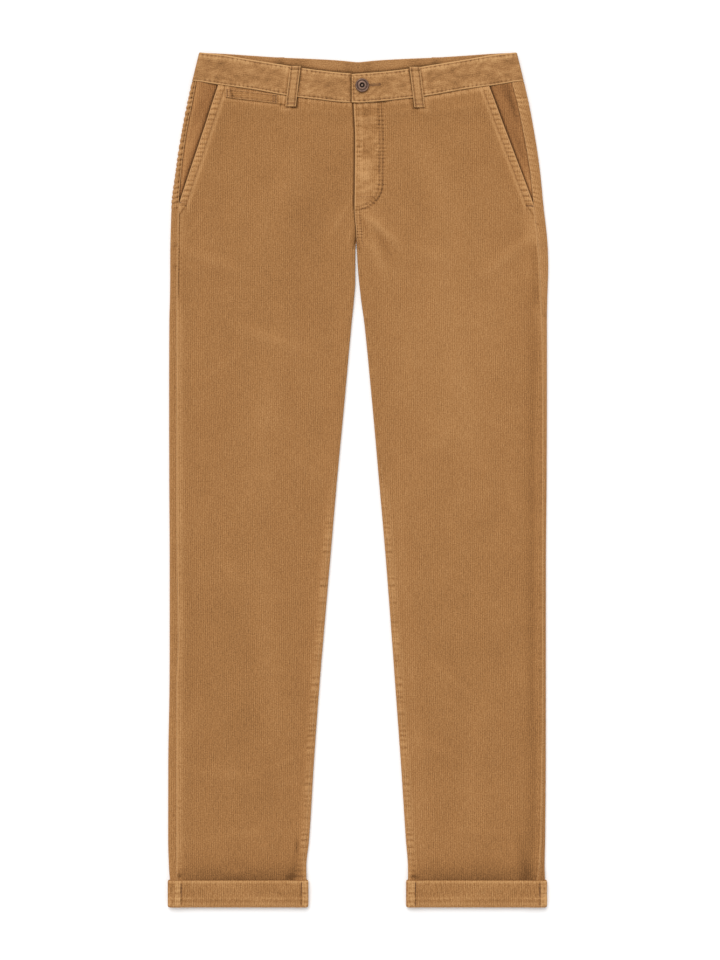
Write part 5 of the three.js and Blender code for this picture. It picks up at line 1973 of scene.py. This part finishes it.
# How deep the stitches of a belt loop sink into it
LOOP_SINK = 0.1


def loop_path(loop, across, down):
    across, down = np.broadcast_arrays(np.array(across, float), np.array(down, float))
    d, y, bottom, thick = loop_face(loop, across, down)
    return np.stack([loop.side.sign * d, y, bottom + thick - LOOP_SINK], axis=1)


# Where the long rows run, from low to high by step, on each side where the two differ
SIDE_ROW = SimpleNamespace(low=CUFF_TOP + 4, right=488, left=455, step=8, inset=0.5)
INSEAM_ROW = SimpleNamespace(low=CUFF_TOP + 4, high=20, step=8, inset=0.9)
MOUTH_ROWS = SimpleNamespace(low=POCKET_FOOT + 4, high=480, step=5, insets=(1.9, 8.8))
MOUTH_BAR = SimpleNamespace(right=2.5, left=-2.0, ends=np.array([0.8, 8.5]), lift=0.2, width=2.2)


def sew_side(side):
    name = side.name
    y = steps(SIDE_ROW.low, getattr(SIDE_ROW, name), SIDE_ROW.step)
    stitching(f"stitching_side_{name}", [strip_path(side, SIDE_ROW.inset, y)], PALE_THREAD)
    y = steps(INSEAM_ROW.low, INSEAM_ROW.high, INSEAM_ROW.step)
    inner = front_path(side, front_inner(side, y) + INSEAM_ROW.inset, y)
    stitching(f"stitching_inseam_{name}", [inner], PALE_THREAD)
    y = steps(MOUTH_ROWS.low, MOUTH_ROWS.high, MOUTH_ROWS.step)
    mouth = [front_path(side, front_outer(side, y) - inset, y) for inset in MOUTH_ROWS.insets]
    stitching(f"stitching_pocket_{name}", mouth)
    y = np.full(2, POCKET_FOOT + getattr(MOUTH_BAR, name))
    foot = front_path(side, front_outer(side, y) - MOUTH_BAR.ends, y, MOUTH_BAR.lift)
    bar_thread = TAN_THREAD if side is RIGHT else BROWN_THREAD
    stitching(f"stitching_pocket_foot_{name}", [], bar_thread, bars=[(foot, MOUTH_BAR.width)])


# The fly's two rows, the crotch seam's two below them, and the short row across the fly's foot
FLY_ROWS = SimpleNamespace(high=465, step=5, turns=16)
CROTCH_ROWS = SimpleNamespace(low=288, high=FLY_FOOT - 2, step=5, insets=(1.4, 6.2))
FLY_BAR_ROW = SimpleNamespace(low=-1.5, high=16, count=6)


def sew_fly():
    y = steps(FLY_FOOT + FLY_CURVE, FLY_ROWS.high, FLY_ROWS.step)
    turns = np.linspace(0, math.pi / 2, FLY_ROWS.turns)
    paths = []
    for inset in SEWN["fly"].grooves:
        wide, high = FLY_WIDTH + inset, FLY_CURVE + inset
        curve_y = FLY_FOOT + FLY_CURVE - high * np.sin(turns)
        rows = np.concatenate([y[::-1], curve_y[1:]])
        reach = np.concatenate([np.full(len(y), wide), wide * np.cos(turns[1:])])
        paths.append(front_path(LEFT, front_inner(LEFT, rows) + reach, rows))
    low = steps(CROTCH_ROWS.low, CROTCH_ROWS.high, CROTCH_ROWS.step)
    paths += [front_path(LEFT, front_inner(LEFT, low) + inset, low) for inset in CROTCH_ROWS.insets]
    bar = FLY_BAR_ROW
    paths.append(front_path(LEFT, np.linspace(bar.low, bar.high, bar.count), float(FLY_BAR)))
    stitching("stitching_fly", paths)


BAND_ROW = SimpleNamespace(start=194, right_end=2.0, inset=2.4, step=4)
BAND_END_ROW = steps(0.07, 0.93, 0.12)


def sew_band(side):
    end = BAND_LAP_END + BAND_ROW.inset if side is LEFT else BAND_ROW.right_end
    d = steps(BAND_ROW.start, end, BAND_ROW.step)
    inset = BAND_ROW.inset / BAND_WIDTH
    paths = [band_path(side, d, up) for up in (inset, 1 - inset)]
    if side is LEFT:
        paths.append(band_path(side, end, BAND_END_ROW))
    stitching(f"stitching_waistband_{side.name}", paths)


LOOP_ROWS = SimpleNamespace(down=steps(0.03, 0.97, 0.04), across=0.71)
LOOP_BARS = SimpleNamespace(downs=(0.035, 0.925), ends=(-0.75, 0.75), width=1.7)


def sew_loop(loop):
    paths = [loop_path(loop, across, LOOP_ROWS.down) for across in (-LOOP_ROWS.across, LOOP_ROWS.across)]
    bars = [(loop_path(loop, LOOP_BARS.ends, down), LOOP_BARS.width) for down in LOOP_BARS.downs]
    stitching(f"stitching_loop_{loop.side.name}", paths, bars=bars)


WELT_ROWS = SimpleNamespace(share=steps(0, 1, 0.1), downs=(0.13, 0.87))
WELT_BARS = SimpleNamespace(shares=(0.02, 0.075, 0.925, 0.98), ends=np.array([0.06, 0.94]), width=1.3)


def welt_path(share, down, lift):
    d, y = welt_place(share, down)
    z = front_top(RIGHT, d, y) + LAYER_GAP + WELT.cloth + lift
    return np.stack([-d, y, z], axis=1)


def sew_welt():
    paths = [welt_path(WELT_ROWS.share, down, -STITCH_LIFT) for down in WELT_ROWS.downs]
    ends = [welt_path(share, WELT_BARS.ends, STITCH_LIFT) for share in WELT_BARS.shares]
    bars = [(end, WELT_BARS.width) for end in ends]
    stitching("stitching_coin_pocket", paths, bars=bars)


# The buttonhole: close stitches on both lips of a slit, and a bar at its end
HOLE = SimpleNamespace(start=12.5, end=26.5, up=0.575, reach=0.9, lift=0.1, width=1.3)
HOLE_BAR = SimpleNamespace(past=0.8, reach=1.6, lift=0.12, width=1.6)


def sew_buttonhole():
    lips = band_path(LEFT, steps(HOLE.start, HOLE.end, 1.0), HOLE.up)
    bars = [(lips + np.array([0, reach, HOLE.lift]), HOLE.width) for reach in (-HOLE.reach, HOLE.reach)]
    end = band_path(LEFT, [HOLE.end + HOLE_BAR.past] * 2, HOLE.up)
    across = np.array([[0, reach, HOLE_BAR.lift] for reach in (-HOLE_BAR.reach, HOLE_BAR.reach)])
    bars.append((end + across, HOLE_BAR.width))
    stitching("stitching_buttonhole", [], BROWN_THREAD, bars=bars)


CUFF_BAR = SimpleNamespace(low=CUFF_END + 2.5, high=CUFF_TOP - 2, sink=0.3, width=1.5)


def sew_cuff(side):
    """The overlocked ends of the seams, in the ditches on the cuff"""
    bars = []
    for seam in CUFF_SEAMS[side.name]:
        y, d = np.array([CUFF_BAR.low, CUFF_BAR.high]), np.full(2, seam)
        z = front_top(side, d, np.full(2, CUFF_MIDDLE)) + CUFF_LEVEL - CUFF_BAR.sink
        bars.append((np.stack([side.sign * d, y, z], axis=1), CUFF_BAR.width))
    stitching(f"stitching_cuff_{side.name}", [], BROWN_THREAD, bars=bars)


# Each piece stands for its solid, which is hidden, and is listed with the size of its cut: how wide,
# how long, and its area where it isn't a rectangle
for side in SIDES:
    name = side.name
    other_cloth = [
        (back_panel(side), f"back_{name}", (0.255, 0.995), "floor", 0.212),
        (yoke(side), f"yoke_{name}", (0.225, 0.062), "floor", 0.0096),
        (front_panel(side), f"front_{name}", (0.232, 1.016), f"back_{name}", 0.193),
        (pocket_facing(side), f"pocket_facing_{name}", (0.045, 0.152), f"back_{name}", 0.0048),
        (waistband(side), f"waistband_{name}", (0.037, 0.43), "floor", None),
        (cuff(side), f"cuff_{name}", (0.037, 0.345), f"front_{name}", None),
    ]
    for made, node, flat, under, area in other_cloth:
        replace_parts(made, node)
for loop in FRONT_LOOPS:
    made = front_belt_loop(loop)
    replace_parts(made, f"belt_loop_front_{loop.side.name}")
for node, middle in (("side_right", -BACK_LOOP_D), ("side_left", BACK_LOOP_D), ("back", 0)):
    made = back_belt_loop(f"belt_loop_{node}_cloth", middle)
    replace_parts(made, f"belt_loop_{node}")
made = coin_pocket_welt()
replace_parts(made, "coin_pocket_welt")
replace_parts(tack_button(), "button")

for side in SIDES:
    sew_side(side)
    sew_band(side)
    sew_cuff(side)
for loop in FRONT_LOOPS:
    sew_loop(loop)
sew_fly()
sew_welt()
sew_buttonhole()

# A plain pale floor, as wide as any view reaches
FLOOR_HALF = 4.0
FLOOR_DROP = 0.0002
floor_form = bmesh.new()
bmesh.ops.create_grid(floor_form, x_segments=1, y_segments=1, size=FLOOR_HALF)
bmesh.ops.translate(floor_form, verts=floor_form.verts[:], vec=(0, 0, -FLOOR_DROP))
floor_mesh = mesh_of(floor_form, "floor")
floor_material, floor_tree = new_material("white_paper")
paper = add(floor_tree, "BsdfPrincipled", {"Base Color": (0.98, 0.98, 0.98, 1), "Roughness": 0.9})
add(floor_tree, "OutputMaterial", links={"Surface": paper[0]})
floor_mesh.materials.append(floor_material)
floor = bpy.data.objects.new("floor", floor_mesh)
bpy.context.scene.collection.objects.link(floor)

# Soft studio light: a broad lamp above the waist, to the left, and pale walls all round
WALL_LIGHT = 0.66
LAMP = SimpleNamespace(energy=1.75, width=40, towards=(-0.2, 0.62, 1.0))
world = bpy.data.worlds.new("studio")
world.use_nodes = True
world.node_tree.nodes["Background"].inputs["Color"].default_value = (1, 1, 1, 1)
world.node_tree.nodes["Background"].inputs["Strength"].default_value = WALL_LIGHT
bpy.context.scene.world = world
lamp = bpy.data.lights.new("broad_lamp", "SUN")
lamp.energy = LAMP.energy
lamp.angle = math.radians(LAMP.width)
lamp_stand = bpy.data.objects.new("broad_lamp", lamp)
lamp_stand.rotation_euler = Vector(LAMP.towards).to_track_quat("Z", "Y").to_euler()
bpy.context.scene.collection.objects.link(lamp_stand)
bpy.context.scene.view_settings.view_transform = "Standard"

# The camera looks straight down, at 1.24 mm to a pixel of the photograph's 720 by 960
LENS = 85
SENSOR = 36
VIEW_LENGTH = 1.1904
VIEW_MIDDLE = (0.0025, -0.0003)
CLOTH_LEVEL = 0.005
lens = bpy.data.cameras.new("camera")
lens.lens = LENS
lens.sensor_width = SENSOR
camera = bpy.data.objects.new("camera", lens)
camera.location = (*VIEW_MIDDLE, CLOTH_LEVEL + VIEW_LENGTH * LENS / SENSOR)
bpy.context.scene.collection.objects.link(camera)
bpy.context.scene.camera = camera
